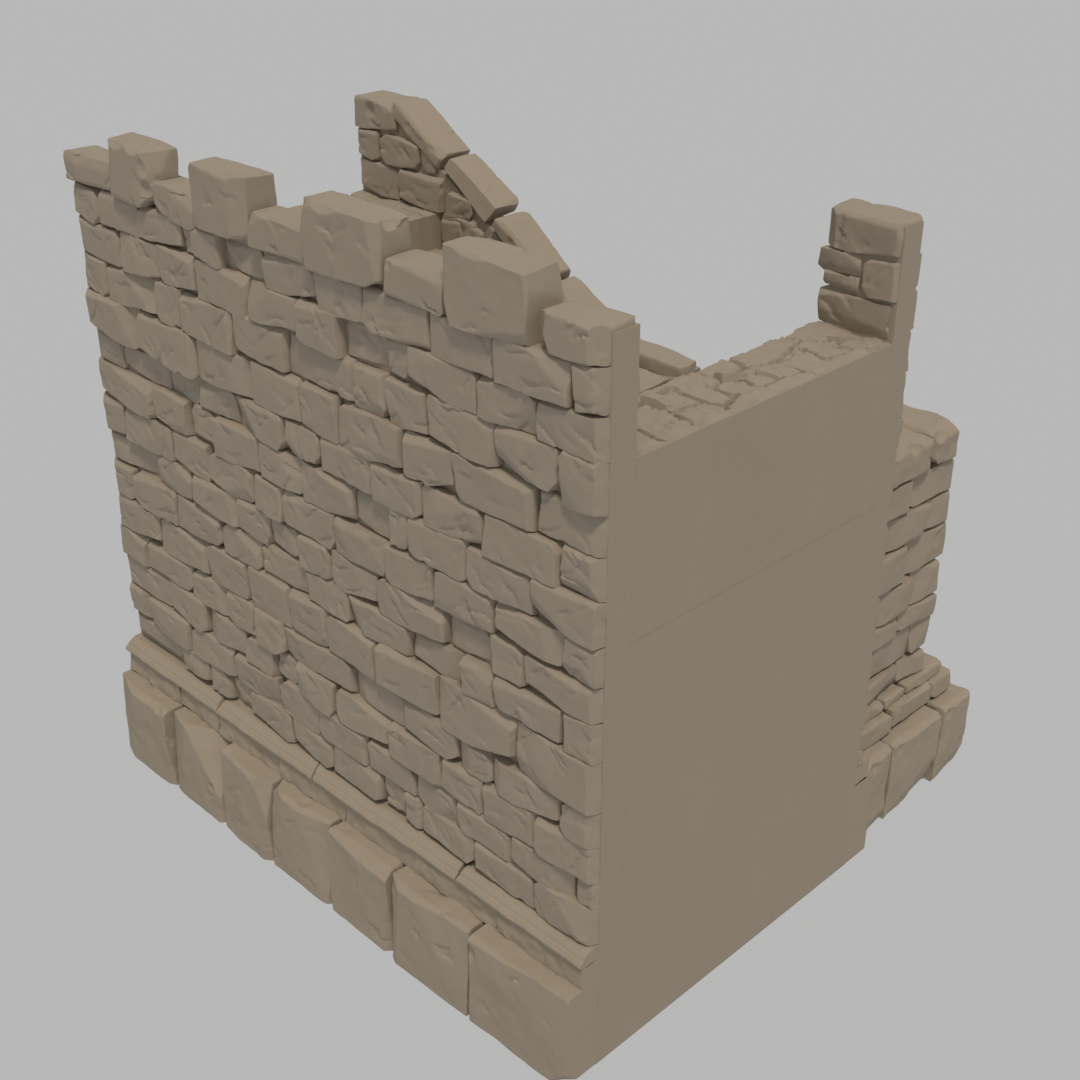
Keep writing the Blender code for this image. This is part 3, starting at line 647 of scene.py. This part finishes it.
# Number, left, right, how far proud, planes and balls
FOOTING_BLOCKS = (
    (7, LEFT_END, -130, 9.3,
     ((0, -0.8, 1, -140, -8.4, 20.9), (-1, -0.6, 0.3, -151.9, -8.8, 18.5),
      (-0.3, -1, 0.05, -146, -9.1, 9)),
     ((-138, -49, 12, 40), (-133, -10.4, 21.8, 2.6))),
    (6, -129.7, -109.8, 8.9,
     ((0.1, -0.7, 1, -120, -8.1, 21.1), (0.62, -1, 0.55, -117.2, -8.6, 15.5),
      (-0.25, -1, 0.06, -125, -8.7, 9)),
     ((-113.2, -9.9, 8.6, 1.9), (-115.8, -10.2, 21.6, 2.6),
      (-124.5, -48.5, 11, 39.9))),
    (5, -109.5, -90.6, 9.4,
     ((-0.1, -0.7, 1, -100, -8.6, 21), (-0.12, -1, 0.04, -100, -9.2, 10),
      (0.4, -1, 0.25, -92.5, -9, 16)),
     ((-99, -49.3, 12, 40.2), (-108, -11, 20.6, 2.7),
      (-96, -11.6, 22.4, 3.2))),
    (4, -90.3, -70.1, 8.8,
     ((0.1, -0.8, 1, -80, -8, 20.8), (0.2, -1, 0.08, -76, -8.6, 10),
      (-0.3, -1, 0.1, -88, -8.6, 12)),
     ((-71.2, -10.4, 12.6, 2.5), (-80, -6.4, 25.4, 4.4), (-73, -10.8, 21.4, 2.7))),
    (3, -69.7, -50, 9, ((0.02, -0.9, 1, -60, -7.9, 20.4), (-0.08, -1, 0.03, -62, -8.9, 10)),
     ((-55.5, -49.8, 12, 41), (-65.5, -10.8, 21.2, 2.8))),
    (2, -49.6, -26.2, 9.7,
     ((0.02, -0.8, 1, -38, -8.9, 20.9), (-0.5, -1, 0.05, -46.6, -9.5, 10),
      (0.12, -1, 0.08, -36, -9.6, 12)),
     ((-47.6, -11.9, 16, 3.1), (-28, -12.6, 21.4, 3.6), (-38, -56.9, 11, 47.4),
      (-36.5, -11.7, 22.6, 3.3))),
    (1, -25.8, RIGHT_END, 9.3,
     ((-0.02, -0.7, 1, -13, -8.8, 21), (0.05, -1, 0.07, -12, -9.15, 12),
      (1, -0.94, -0.94, 0, -5.4, 0), (1, -1, 0.5, -0.35, -8.6, 19.9)),
     ((-2.6, -11.4, 15.4, 2.6), (-1.4, -10.2, 9, 1.5), (-25.5, -12, 17.5, 3.6),
      (-14.5, -56.8, 11, 47.65), (-4.6, -11.2, 21.6, 2.9), (-9, -11.4, 22.4, 3))),
)


def front_plinth():
    for number, left, right, proud, planes, balls in FOOTING_BLOCKS:
        numbered_block("plinth_block", number, 400, "plinth_stone", "front_footing",
                       (left, -proud, 0), (right, -SEAM, FOOT_TOP + 0.2), planes, balls,
                       bevel=(0.25, 0.9), flat_right=number == 1, flat_left=number == 7,
                       pitch=0.42, wave=0.27, keep=(REAR_SIDE, UNDERSIDE), creases=8)

    rng = seeded(450)
    band = Sculpture("rough_band")
    strip = ((-SEAM, FOOT_TOP + 0.1), (-SEAM, 26.9), (-3.6, 26.9), (-3.8, 26),
             (-3.9, 23.5), (-4.2, FOOT_TOP + 0.1))
    x = LEFT_END
    while x < RIGHT_END:
        end = x + rng.uniform(14, 30)
        end = RIGHT_END if RIGHT_END - end < 10.0 else end
        inner = end < RIGHT_END
        sweep(band, rng, x, end - (0.25 if inner else 0), strip, 0.42, (),
              (0, rng.uniform(-1, 1) if inner else 0))
        x = end
    band.build("plinth_stone", "front_band")

    section = ((-SEAM, 26.95), (-SEAM, 29.95), (-2, 29.95), (-2.9, 29.5), (-3.65, 28.85), (-3.75, 28.5),
               (-4.3, 28.2), (-4.4, 27.95), (-4.7, 27.75), (-4.75, 27.3), (-4.3, 26.95))
    joints = ((4, LEFT_END, -114.4), (3, -113.9, -79.2), (2, -78.6, -33.7), (1, -33.1, RIGHT_END))
    for number, left, right in joints:
        rng = seeded(460 + number)
        piece = Sculpture(f"moulding_{number}")
        chips = []
        for _ in range(2):
            radius = rng.uniform(2, 4)
            x = rng.uniform(left + 2, right - 2)
            chips.append((x, -4.4 - radius * 0.8, 28 + radius * 0.5, radius))
        sweep(piece, rng, left, right, section, 0.15, chips,
              (rng.uniform(-1, 1) if left > LEFT_END else 0,
               rng.uniform(-1, 1) if right < RIGHT_END else 0))
        piece.build("plinth_stone", f"front_moulding_{number}")


# Cores and paving

COPING_SLOPE, COPING_TOP, COPING_START = 0.63, 148.3, -138.0


def coping_line(x):
    """Height of the coping's top along the wall."""
    return COPING_TOP - COPING_SLOPE * (x - COPING_START)


def below_coping(height):
    """Where along the wall the coping's underside is at a height."""
    return (COPING_TOP - 5.6 - height) / COPING_SLOPE + COPING_START


def cores():
    piece = Sculpture("front_core")
    slab(piece, (LEFT_END, 0, 0), (RIGHT_END, CORE + 0.13, CORE_TOP))
    rng = seeded(500)
    for low, high in ((124.8, 133.4), (133.4, 140.5), (140.5, 146.4)):
        face_stones(piece, rng, BASIS_REAR, (0, CORE + 0.13), (low, high),
                    spans_between(rng, 0.2, LENGTH - 0.2), 0.35, 0.7)
    piece.build("core_stone", "front_wall_core")

    piece = Sculpture("ground_core")
    slab(piece, (LEFT_END, CORE + 0.13 + SEAM, 0), (RIGHT_END, REAR_IN - SEAM, 91.06))
    relief(piece, rng, (-86, 42.6, 84), (-15.9, REAR_IN - 0.5, 92),
           flag_lines(rng, -86, -16, 42.6, 75.6, 8, 12))
    piece.build("core_stone", "lower_core")

    piece = Sculpture("rear_core")
    slab(piece, (-14.6, REAR_IN, 0), (RIGHT_END, REAR_OUT + 0.05, CORE_TOP))
    slab(piece, (LEFT_END, REAR_IN, 0), (-14.6, REAR_OUT + 0.2, 91.1))
    slab(piece, (-138, REAR_IN, 91), (-54, REAR_OUT + 0.2, 100), lambda x: coping_line(x) - 4.6)
    slab(piece, (LEFT_END, REAR_IN, 91), (-137.9, REAR_OUT + 0.2, 141.2))
    rng = seeded(520)
    for low, high in ROWS[8:12]:
        spans = spans_between(rng, -123, min(-57, below_coping(high)))
        face_stones(piece, rng, BASIS_FRONT, (0, REAR_IN), (low, high), spans, 0.7, 0.6)
    piece.build("core_stone", "rear_wall_core")


def paving():
    rng = seeded(540)
    piece = Sculpture("landing")
    grooves = (
        (-17.5, 66, -13, 66.6, 0.5, 0.7), (-10.5, 62.6, -4.4, 61.4, 0.9, 1),
        (-10.6, 54.6, -1, 53.8, 0.8, 0.9), (-17.5, 49.2, -12.6, 48.6, 1.1, 1.3),
        (-11, 51.5, -9, 62.4, 0.5, 0.5), (-13, 66.6, -10.6, 54.8, 0.5, 0.6),
        (-12.6, 48.6, -10.6, 54.6, 0.5, 0.6), (-10.2, 43.4, -4.8, 42.6, 0.7, 0.9),
        (-12.6, 48.6, -10.2, 43.4, 0.5, 0.6), (-11, 37.6, -5.6, 36.4, 1.1, 1.2),
        (-15, 31.8, -3, 30.6, 0.9, 1), (-10.2, 43.4, -11, 37.6, 0.6, 0.8),
        (-5.6, 36.4, -3.2, 30.8, 0.5, 0.8), (-15, 31.8, -14, 24, 0.6, 0.8),
        (-14, 24, -4, 22.6, 0.8, 1), (-7, 30.6, -8, 23, 0.5, 0.7),
        (-14, 24, -13, 6, 0.6, 0.8), (-13.4, 15, -2, 14, 0.8, 0.9),
        (-4.4, 61.4, -2.6, 72, 0.5, 0.6), (-13, 66.6, -8.6, 71, 0.5, 0.7),
        (-8.6, 71, -1.6, 70, 0.6, 0.8), (-4.8, 42.6, -3.2, 53.8, 0.5, 0.5),
        (-17, 40.2, -10.6, 40.6, 0.5, 0.7))
    grooves = [(*line, depth * 1.35) for *line, depth in grooves]
    relief(piece, rng, (-16.9, CORE + 0.13 + SEAM, 91.1 + SEAM),
           (RIGHT_END, REAR_IN - SEAM, FLOOR + 0.25), grooves, 0.26, (0.6, 0), 0.36, 0.4)
    for x, y, across, along, turn in ((-3.6, 20.6, 1.5, 2.2, 0.3), (-6.6, 49.6, 2.6, 3.4, 0.2),
                                      (-11.8, 44, 2.2, 3.8, -0.3), (-4.4, 71, 2, 3.2, 0.4),
                                      (-8.6, 72, 2.6, 2.4, -0.2), (-12.5, 27, 2.8, 4, 0.2)):
        big_block(piece, rng, (x - across, y - along, FLOOR - 2),
                  (x + across, y + along, FLOOR + 0.9),
                  ((turn, 0.25, 1, x, y, FLOOR + 0.15), (1, turn, 0.5, x + 0.7 * across, y, FLOOR),
                   (-1, 0.4, 0.5, x - 0.7 * across, y, FLOOR), (turn, -1, 0.4, x, y - 0.8 * along, FLOOR),
                   (0.5, 1, 0.4, x, y + 0.8 * along, FLOOR)),
                  (), (0.4, 1), pitch=0.36, creases=1)
    for low, high in ROWS[8:12]:
        face_stones(piece, rng, BASIS_LEFT, (-16.5, 75.4), (low, min(high, 123.2)),
                    spans_between(rng, 0.3, 32.6), 0.6, 0.6)
    piece.build("paving_stone", "landing_block")

    piece = Sculpture("wall_walk")
    relief(piece, rng, (LEFT_END, CORE + 0.2, 91.2), (-17.6, 42.4, FLOOR + 0.1),
           flag_lines(rng, LEFT_END, -17, 6, 42, 9, 14), 0.22, (0, 0.5), 0.55)
    for low, high in ROWS[8:12]:
        face_stones(piece, rng, BASIS_REAR, (0, 42.4), (low, min(high, 123.6)),
                    spans_between(rng, 18.4, 122), 0.5, 0.65)
    edges = (-123.2, -101, -82.5, -60, -41, -18.4)
    for left, right in zip(edges, edges[1:]):
        last = right == edges[-1]
        planes = [(1, 0.35, 0.05, -17.2, 38.9, 125.5)] if last else []
        big_block(piece, rng, (left + 0.25, 35.8, FLOOR - 0.8),
                  (right + (1.45 if last else -0.25), 42.3, FLOOR + 1.8), planes, (), (0.25, 0.6),
                  pitch=0.45)
    piece.build("paving_stone", "walkway_block", "kerb_wall")

    piece = Sculpture("head_platform")
    relief(piece, rng, (LEFT_END, 42.5, 91.2), (-123.4, REAR_IN - 0.1, FLOOR + 0.1),
           flag_lines(rng, LEFT_END, -123, 42.5, 75.5, 9, 12), 0.22, (0, 0.35), 0.5)
    piece.build("paving_stone", "head_platform_block")

    piece = Sculpture("stairs")
    for step in range(3):
        right = -111.3 + 12.3 * step
        tread = FLOOR - 8.375 * (step + 1)
        for near, far in ((42.6, 54.0 + 3 * step), (54.4 + 3 * step, REAR_IN - 0.4)):
            big_block(piece, rng, (right - 13.6, near, 91.15), (right, far, tread),
                      (), (), (0.4, 1), pitch=0.55)
    piece.build("paving_stone", "stair_flight")


# Peak and coping

def peak():
    rng = seeded(600)
    piece = Sculpture("peak_stones")
    stones = (
        (LEFT_END, -144.3, 133, 139.8, 1.6), (-143.8, -129.8, 133, 139.8, 1.5),
        (-129.2, -124.2, 133.4, 138.4, 0.9),
        (LEFT_END, -137.8, 124.9, 132.6, 1.3), (-137.2, -121.8, 124.9, 132.6, 1.7),
        (-121.2, -112, 124.4, 130.2, 1.2), (-122.6, -115.4, 117.4, 124, 1.3),
        (-114.9, -108.7, 117.4, 123.4, 1.2), (-108.2, -100.8, 117.2, 122, 0.9),
    )
    for left, right, low, high, proud in stones:
        wall_stone(piece, rng, BASIS_FRONT, (left, REAR_IN, low), (right - left, high - low),
                   proud, end_left=1.2 if left == LEFT_END else 0, pitch=0.4)
    piece.build("wall_stone", "peak_facing")

    rng = seeded(610)
    piece = Sculpture("peak_top")
    big_block(piece, rng, (LEFT_END, 74.6, 140.3), (-137.6, 84.2, 147.5),
              ((0.2, -0.5, 1, -143, 75, 146.6), (1, 0, 0.9, -138.6, 79, 146.4)),
              ((-146.5, 73, 144.6, 2.6), (-139, 72.8, 146.8, 2.4)), (0.4, 1), pitch=0.4, flat_left=True)
    piece.build("wall_stone", "peak_slab")


def coping():
    run = math.hypot(1, COPING_SLOPE)
    tilt = COPING_SLOPE / run
    basis = ((1 / run, 0, -tilt), (0, 1, 0), (tilt, 0, 1 / run))
    joints = ((5, -137.6, -121.2, 148.5), (4, -119.6, -104.9, 138.4),
              (3, -103.8, -87.4, 127.9), (2, -86.6, -70.9, 116.6), (1, -70.2, -55.2, 106.2))
    for number, left, right, high in joints:
        length = (right - left) * run
        thick = 4.2
        planes = [(0, -1, 0.9, length / 2, 0.5, thick - 0.5), (-0.3, 0, 1, 2, 4, thick - 0.1)]
        balls = [(length * 0.35, -2, 2, 2.5), (length * 0.8, -2.4, 3.6, 3)]
        if number == 4:
            planes.append((0, -1, 0.25, length / 2, 0.7, 2))
        numbered_block("coping", number, 620, "coping_stone", "coping_slab", (0, 0, 0),
                       (length, 9.4, thick), planes, balls, bevel=(0.35, 0.9), pitch=0.4,
                       wave=0.26, basis=basis, origin=(left - thick * tilt, 74.6, high - thick / run))


# Stub and pier

def stub():
    rng = seeded(640)
    piece = Sculpture("stub_stones")
    big_block(piece, rng, (-16.6, 75, 139.7), (-0.2, 84.1, 147),
              ((1, -1, 0, -0.15, 75.9, 143), (1, 1, 0, -0.15, 81.8, 143),
               (1, 0, 0.8, -0.5, 79, 146.7), (0, -1, 0.7, -8, 75.2, 146.2),
               (-0.7, -1, 0, -14.2, 75.2, 144)),
              [(-13.0 - 0.15 * k, 73.9, 146.4 - 1.1 * k, 1.7) for k in range(6)],
              (0.25, 0.8), pitch=0.36, wave=0.26, creases=5)
    for left, right, low, high, front, lean, balls in (
            (-17.3, -8, 134.9, 139.5, 74.9, 1.2, ()),
            (-16.2, -8, 132.3, 135.4, 74.9, 0.9, ()),
            (-16.8, -0.9, 124.7, 131.8, 75, 0.2,
             ((-9.5, 74.2, 125.4, 1.3), (-5.5, 74.3, 125.8, 1.1)))):
        big_block(piece, rng, (left, front, low), (right, 82.6, high),
                  ((-1, -0.6, 0.1, left + 0.4, 75.2, high - 1.5),
                   (0, -1, -0.35, -8, front + 0.1, low + 0.4 * (high - low)),
                   (-1, 0, -lean, left, 76, low + 1.3)),
                  balls, (0.2, 0.5), pitch=0.36, wave=0.28, creases=5)
    wall_stone(piece, rng, BASIS_FRONT, (-7.9, REAR_IN, 132.1), (7.9, 7.4), 0.9,
               end_right=0.8, pitch=0.36, facets=0.6)
    for index, row in enumerate(ROWS[8:]):
        split = (7, 9.5)[index % 2]
        face_stones(piece, rng, BASIS_REAR, (0, REAR_OUT), row, ((0, split), (split, 16)), 2.2, 0.45,
                    (1.5, 0), (0.5, 1.1, 0.7)[index % 3])
        if index < 4:
            face_stones(piece, rng, BASIS_LEFT, (-14.6, 84), row, ((0, 8.6),), 1.4, 0.5)
    piece.build("wall_stone", "stub_facing")


PIER_X = -10.8
PIER_END = -48.0
PIER_Y = 118.6
PIER_BEDS = (30, 35.9, 45, 50.6, 59.1, 68.6, 76.6, 84.3)
# For each course: its upright joints, and how far its last stone overhangs
PIER_COURSES = (((109.7,), 2.3), ((113.5,), 2.3), ((107,), 2.5), ((96, 110.5), 3.3),
                ((106.7,), 4.2), ((97.6, 113.2), 3.6), ((105.6,), 3.7))


def strip_stone(piece, rng, row, lip):
    """The stone beside the pier, at the very end of the rear wall."""
    face_stones(piece, rng, BASIS_REAR, (0, REAR_OUT), row, ((0, -PIER_X - 1.5),), 2.1,
                0.5, (1.5, 0), lip)


def pier():
    rng = seeded(700)
    piece = Sculpture("pier_stones")
    rows = zip(PIER_BEDS, PIER_BEDS[1:])
    for index, (row, (joints, overhang)) in enumerate(zip(rows, PIER_COURSES)):
        edges = (REAR_OUT + 0.1, *joints, PIER_Y + overhang)
        for number, (start, end) in enumerate(zip(edges, edges[1:])):
            face = PIER_X + 2.5 + rng.uniform(-0.5, 0.45)
            if index == 1 and number == 0:
                face -= 0.9
            big_block(piece, rng, (-16, start + 0.2, row[0] + 0.2), (face, end - 0.2, row[1] - 0.15),
                      ((1, -0.2, 0.1, face - 0.2, (start + end) / 2, row[0] + 3),),
                      ((face + 2.4, start + 2, row[1] - 1, 2.6),), (0.35, 1.2), pitch=0.45, wave=0.36)
        spans = spans_between(rng, -PIER_X + 5, -PIER_END - 1)
        face_stones(piece, rng, BASIS_REAR, (0, PIER_Y), row, spans, 2.3)
        spans = spans_between(rng, 0, PIER_Y + 2.4 - REAR_OUT - 0.3)
        face_stones(piece, rng, BASIS_LEFT, (PIER_END, PIER_Y + 2.4), row, spans, 2.3)
        strip_stone(piece, rng, row, (0.4, 1, 0.6)[index % 3])
    strip_stone(piece, rng, ROWS[7], 0.5)
    piece.build("wall_stone", "pier_facing")

    far = PIER_END - 2.6
    near = PIER_X + 2.7
    rng = seeded(710)
    piece = Sculpture("pier_cap_near_wall")
    big_block(piece, rng, (far, REAR_OUT + 0.2, 83.6), (near + 0.1, 111.5, 93),
              ((0.3, 0, 1, near, 100, 92),),
              ((near, 97, 94.8, 3.4), (near - 3, 86, 94.4, 2),
               (near + 1.4, 90, 92.6, 3.2), (near + 1.2, 104, 93.2, 3),
               (near + 1, 111, 88, 2.4)), (1, 2.2), wave=0.5, creases=8)
    piece.build("coping_stone", "pier_cap_inner")
    piece = Sculpture("pier_cap_far")
    big_block(piece, rng, (far, 110.8, 84), (near + 0.5, PIER_Y + 2.7, 93),
              ((0.5, 0, 1, near, 119, 91.8), (0.2, 1, 0.6, near, PIER_Y + 2.2, 90)),
              ((near + 1.4, 113, 93.4, 3.2), (near + 1.6, 117, 93, 2.4)), (0.7, 1.8),
              wave=0.48, creases=8)
    piece.build("coping_stone", "pier_cap_outer")
    pier_plinth()


def pier_plinth():
    rng = seeded(720)
    piece = Sculpture("pier_plinth")
    big_block(piece, rng, (-10, REAR_OUT + 0.05, 0), (RIGHT_END, 89.7, 21.7),
              ((1, 1, 0, -0.3, 89.4, 10), (0, 0.8, 1, -5, 89.2, 21.2)), (),
              (0.3, 0.8), flat_right=True, keep=(UNDERSIDE, FRONT_SIDE), creases=0)
    edges = (89.9, 100.6, 120.9, 133.8)
    for start, end in zip(edges, edges[1:]):
        big_block(piece, rng, (-18, start + 0.2, 0), (-2.1, end - 0.2, 21.4),
                  ((0.8, 0, 1, -2.8, start + 5, 20.6), (1, 0.1, -0.3, -2.2, start + 5, 4)),
                  ((0.6, start + 3, 19, 3.4), (0.2, end - 2, 7, 2.7)), (0.4, 1.3), wave=0.45,
                  keep=(UNDERSIDE,))
    for left, start, right, end, plane in (
            (-36, 116, -18.2, 133.6, (0, 0.9, 1, -27.2, 133, 20.6)),
            (-56.6, 116, -36.3, 133.6, (0, 0.9, 1, -45.3, 133, 20.6)),
            (-56.6, REAR_OUT + 0.1, -45, 115.7, (-0.9, 0, 1, -56, 100, 20.6))):
        big_block(piece, rng, (left, start, 0), (right, end, 21.4), (plane,), (),
                  (0.4, 1.3), pitch=0.6, wave=0.4, keep=(UNDERSIDE,))
    piece.build("plinth_stone", "pier_footing")

    rng = seeded(730)
    piece = Sculpture("pier_band_stones")
    for low, high, end, corner, wear, wave in (
            (21.3, 26.6, 86.8, (-0.2, 86.5, 24), 0.7, 0.3),
            (26.4, 30, 84, (-0.1, 83.8, 28), 0.6, 0.2)):
        big_block(piece, rng, (-10, REAR_OUT + 0.05, low), (RIGHT_END, end, high), ((1, 1, 0, *corner),),
                  (), (0.25, wear), flat_right=True, pitch=0.45, wave=wave, keep=(FRONT_SIDE,))
    for low, high, out, joints in ((21.5, 27, 5, (86.9, 104.5, 121.5, 129.4)),
                                   (26.8, 30, 3.4, (84.1, 93.5, 103, 111.6, 127.6))):
        for start, end in zip(joints, joints[1:]):
            big_block(piece, rng, (-16, start + 0.1, low), (PIER_X + out, end - 0.1, high), (),
                      ((PIER_X + out + 1.6, start + 2, high, 2),), (0.25, 0.9), pitch=0.42, wave=0.4)
        for start, right, end in ((114, -15.8, joints[-1]), (REAR_OUT + 0.1, -44, 114.2)):
            big_block(piece, rng, (PIER_END - out, start, low), (right, end, high), (), (),
                      (0.3, 0.8), pitch=0.6, wave=0.35)
    piece.build("plinth_stone", "pier_band")


def rear_side():
    rng = seeded(800)
    piece = Sculpture("rear_stones")
    for row in ROWS:
        limit = min(-51.4, below_coping(row[1]))
        face_stones(piece, rng, BASIS_REAR, (limit, REAR_OUT + 0.2), row,
                    spans_between(rng, 0, LENGTH + limit), 2.2, 0.6, (0, 1.8))
    piece.build("wall_stone", "rear_facing")

    piece = Sculpture("rear_plinth")
    for left, right in ((LEFT_END, -131), (-130.6, -106), (-105.6, -83), (-82.6, -57.2)):
        big_block(piece, rng, (left, REAR_OUT + 0.25, 0), (right, 90.3, 21.4),
                  ((0, 0.9, 1, right - 9, 89.8, 20.6),), (), (0.4, 1.2), pitch=0.6,
                  wave=0.4, flat_left=left == LEFT_END, keep=(UNDERSIDE, FRONT_SIDE))
    piece.build("plinth_stone", "rear_footing")
    piece = Sculpture("rear_moulding")
    section = ((REAR_OUT + 0.25, 21.5), (86.2, 21.5), (86.4, 26.6), (86.6, 27.3),
               (84.6, 28.3), (84.3, 29.9), (REAR_OUT + 0.25, 29.9))
    sweep(piece, rng, LEFT_END, -53.2, section, 0)
    piece.build("plinth_stone", "rear_band")


# Camera

CAMERA_PLACE = (137.3, -152.27, 221.19)
CAMERA_PITCH = 27.94
CAMERA_TURN = 45.0


def put(node, values):
    """Sets a node's inputs by name."""
    for name, value in values.items():
        node.inputs[name].default_value = value
    return node


def add_to_scene(name, data):
    item = bpy.data.objects.new(name, data)
    bpy.context.scene.collection.objects.link(item)
    return item


def make_camera():
    data = bpy.data.cameras.new("camera")
    data.sensor_width = 36.0
    data.lens = 50.0
    data.clip_start = 0.01
    data.clip_end = 50.0
    camera = add_to_scene("camera", data)
    camera.location = to_world(CAMERA_PLACE)
    camera.rotation_euler = (math.radians(90.0 - CAMERA_PITCH), 0.0, math.radians(CAMERA_TURN))
    bpy.context.scene.camera = camera


def make_stage():
    """A pale floor that mostly glows evenly, a soft sky and one broad sun."""
    floor_mesh = bpy.data.meshes.new("floor")
    half = 6.0
    floor_mesh.from_pydata([(-half, -half, 0), (half, -half, 0), (half, half, 0), (-half, half, 0)], [],
                           [(0, 1, 2, 3)])
    floor = add_to_scene("floor", floor_mesh)
    material, nodes, link = new_material("floor")
    shader = put(nodes["Principled BSDF"], {"Base Color": (0.63, 0.63, 0.63, 1.0),
                                            "Roughness": 0.95, "Specular IOR Level": 0.1})
    glow = put(nodes.new("ShaderNodeEmission"), {"Color": (1.0, 1.0, 1.0, 1.0), "Strength": 0.479})
    mix = put(nodes.new("ShaderNodeMixShader"), {"Fac": 0.93})
    link(shader.outputs["BSDF"], mix.inputs[1])
    link(glow.outputs["Emission"], mix.inputs[2])
    link(mix.outputs["Shader"], nodes["Material Output"].inputs["Surface"])
    floor_mesh.materials.append(material)

    world = bpy.data.worlds.new("studio")
    world.use_nodes = True
    put(world.node_tree.nodes["Background"], {"Color": (0.89, 0.95, 1.0, 1.0), "Strength": 0.43})
    bpy.context.scene.world = world

    sun = bpy.data.lights.new("key", "SUN")
    sun.energy = 1.5
    sun.angle = math.radians(9.0)
    sun.color = (1.0, 0.9, 0.785)
    key = add_to_scene("key", sun)
    key.rotation_euler = Vector((0.36, -0.28, 0.89)).to_track_quat("Z", "Y").to_euler()
    bpy.context.scene.view_settings.view_transform = "Standard"


# Materials

def new_material(name):
    material = bpy.data.materials.new(name)
    material.use_nodes = True
    return material, material.node_tree.nodes, material.node_tree.links.new


def stone_material(name, base, seed, grain=0.35, spread=0.02):
    """Matte cast stone: two sizes of tone variation and a fine grain."""
    material, nodes, link = new_material(name)
    shader = put(nodes["Principled BSDF"], {"Specular IOR Level": 0.18})
    place = nodes.new("ShaderNodeTexCoord")

    def pattern(scale, detail, shift):
        texture = put(nodes.new("ShaderNodeTexNoise"),
                      {"Scale": scale, "Detail": detail, "Roughness": 0.6})
        moved = put(nodes.new("ShaderNodeMapping"), {"Location": (shift, seed * 0.37, shift * 0.5)})
        link(place.outputs["Object"], moved.inputs["Vector"])
        link(moved.outputs["Vector"], texture.inputs["Vector"])
        return texture.outputs["Fac"]

    def mapped(value, target, limits):
        changed = put(nodes.new("ShaderNodeMapRange"), limits)
        link(value, changed.inputs["Value"])
        link(changed.outputs["Result"], target)

    product = nodes.new("ShaderNodeMath")
    product.operation = "MULTIPLY"
    fine = pattern(420.0, 4.0, 5.1)
    for index, (value, amount) in enumerate(((pattern(45.0, 3.0, 1.7), spread), (fine, spread * 0.6))):
        mapped(value, product.inputs[index], {"From Min": 0.3, "From Max": 0.7,
                                              "To Min": 1.0 - amount, "To Max": 1.0 + amount})
    colour = nodes.new("ShaderNodeVectorMath")
    colour.operation = "SCALE"
    colour.inputs[0].default_value = base
    link(product.outputs["Value"], colour.inputs["Scale"])
    link(colour.outputs["Vector"], shader.inputs["Base Color"])
    mapped(fine, shader.inputs["Roughness"], {"To Min": 0.82, "To Max": 0.98})
    bump = put(nodes.new("ShaderNodeBump"), {"Strength": grain, "Distance": 0.00006})
    link(pattern(2600.0, 2.0, 9.3), bump.inputs["Height"])
    link(bump.outputs["Normal"], shader.inputs["Normal"])
    return material


CLAY = (0.381, 0.3185, 0.2445)
MATERIALS = {
    "wall_stone": stone_material("wall_stone", CLAY, 1),
    "core_stone": stone_material("core_stone", CLAY, 2, grain=0.2, spread=0.012),
    "plinth_stone": stone_material("plinth_stone", (0.391, 0.325, 0.2445), 3),
    "paving_stone": stone_material("paving_stone", (0.381, 0.317, 0.2425), 4),
    "coping_stone": stone_material("coping_stone", (0.391, 0.322, 0.244), 5),
}

make_camera()
make_stage()
make_front()
top_blocks()
front_plinth()
cores()
paving()
peak()
coping()
stub()
pier()
rear_side()

# The CAD nodes that still show take the core's material
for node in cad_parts.values():
    for slot in node.material_slots:
        slot.material = MATERIALS["core_stone"]
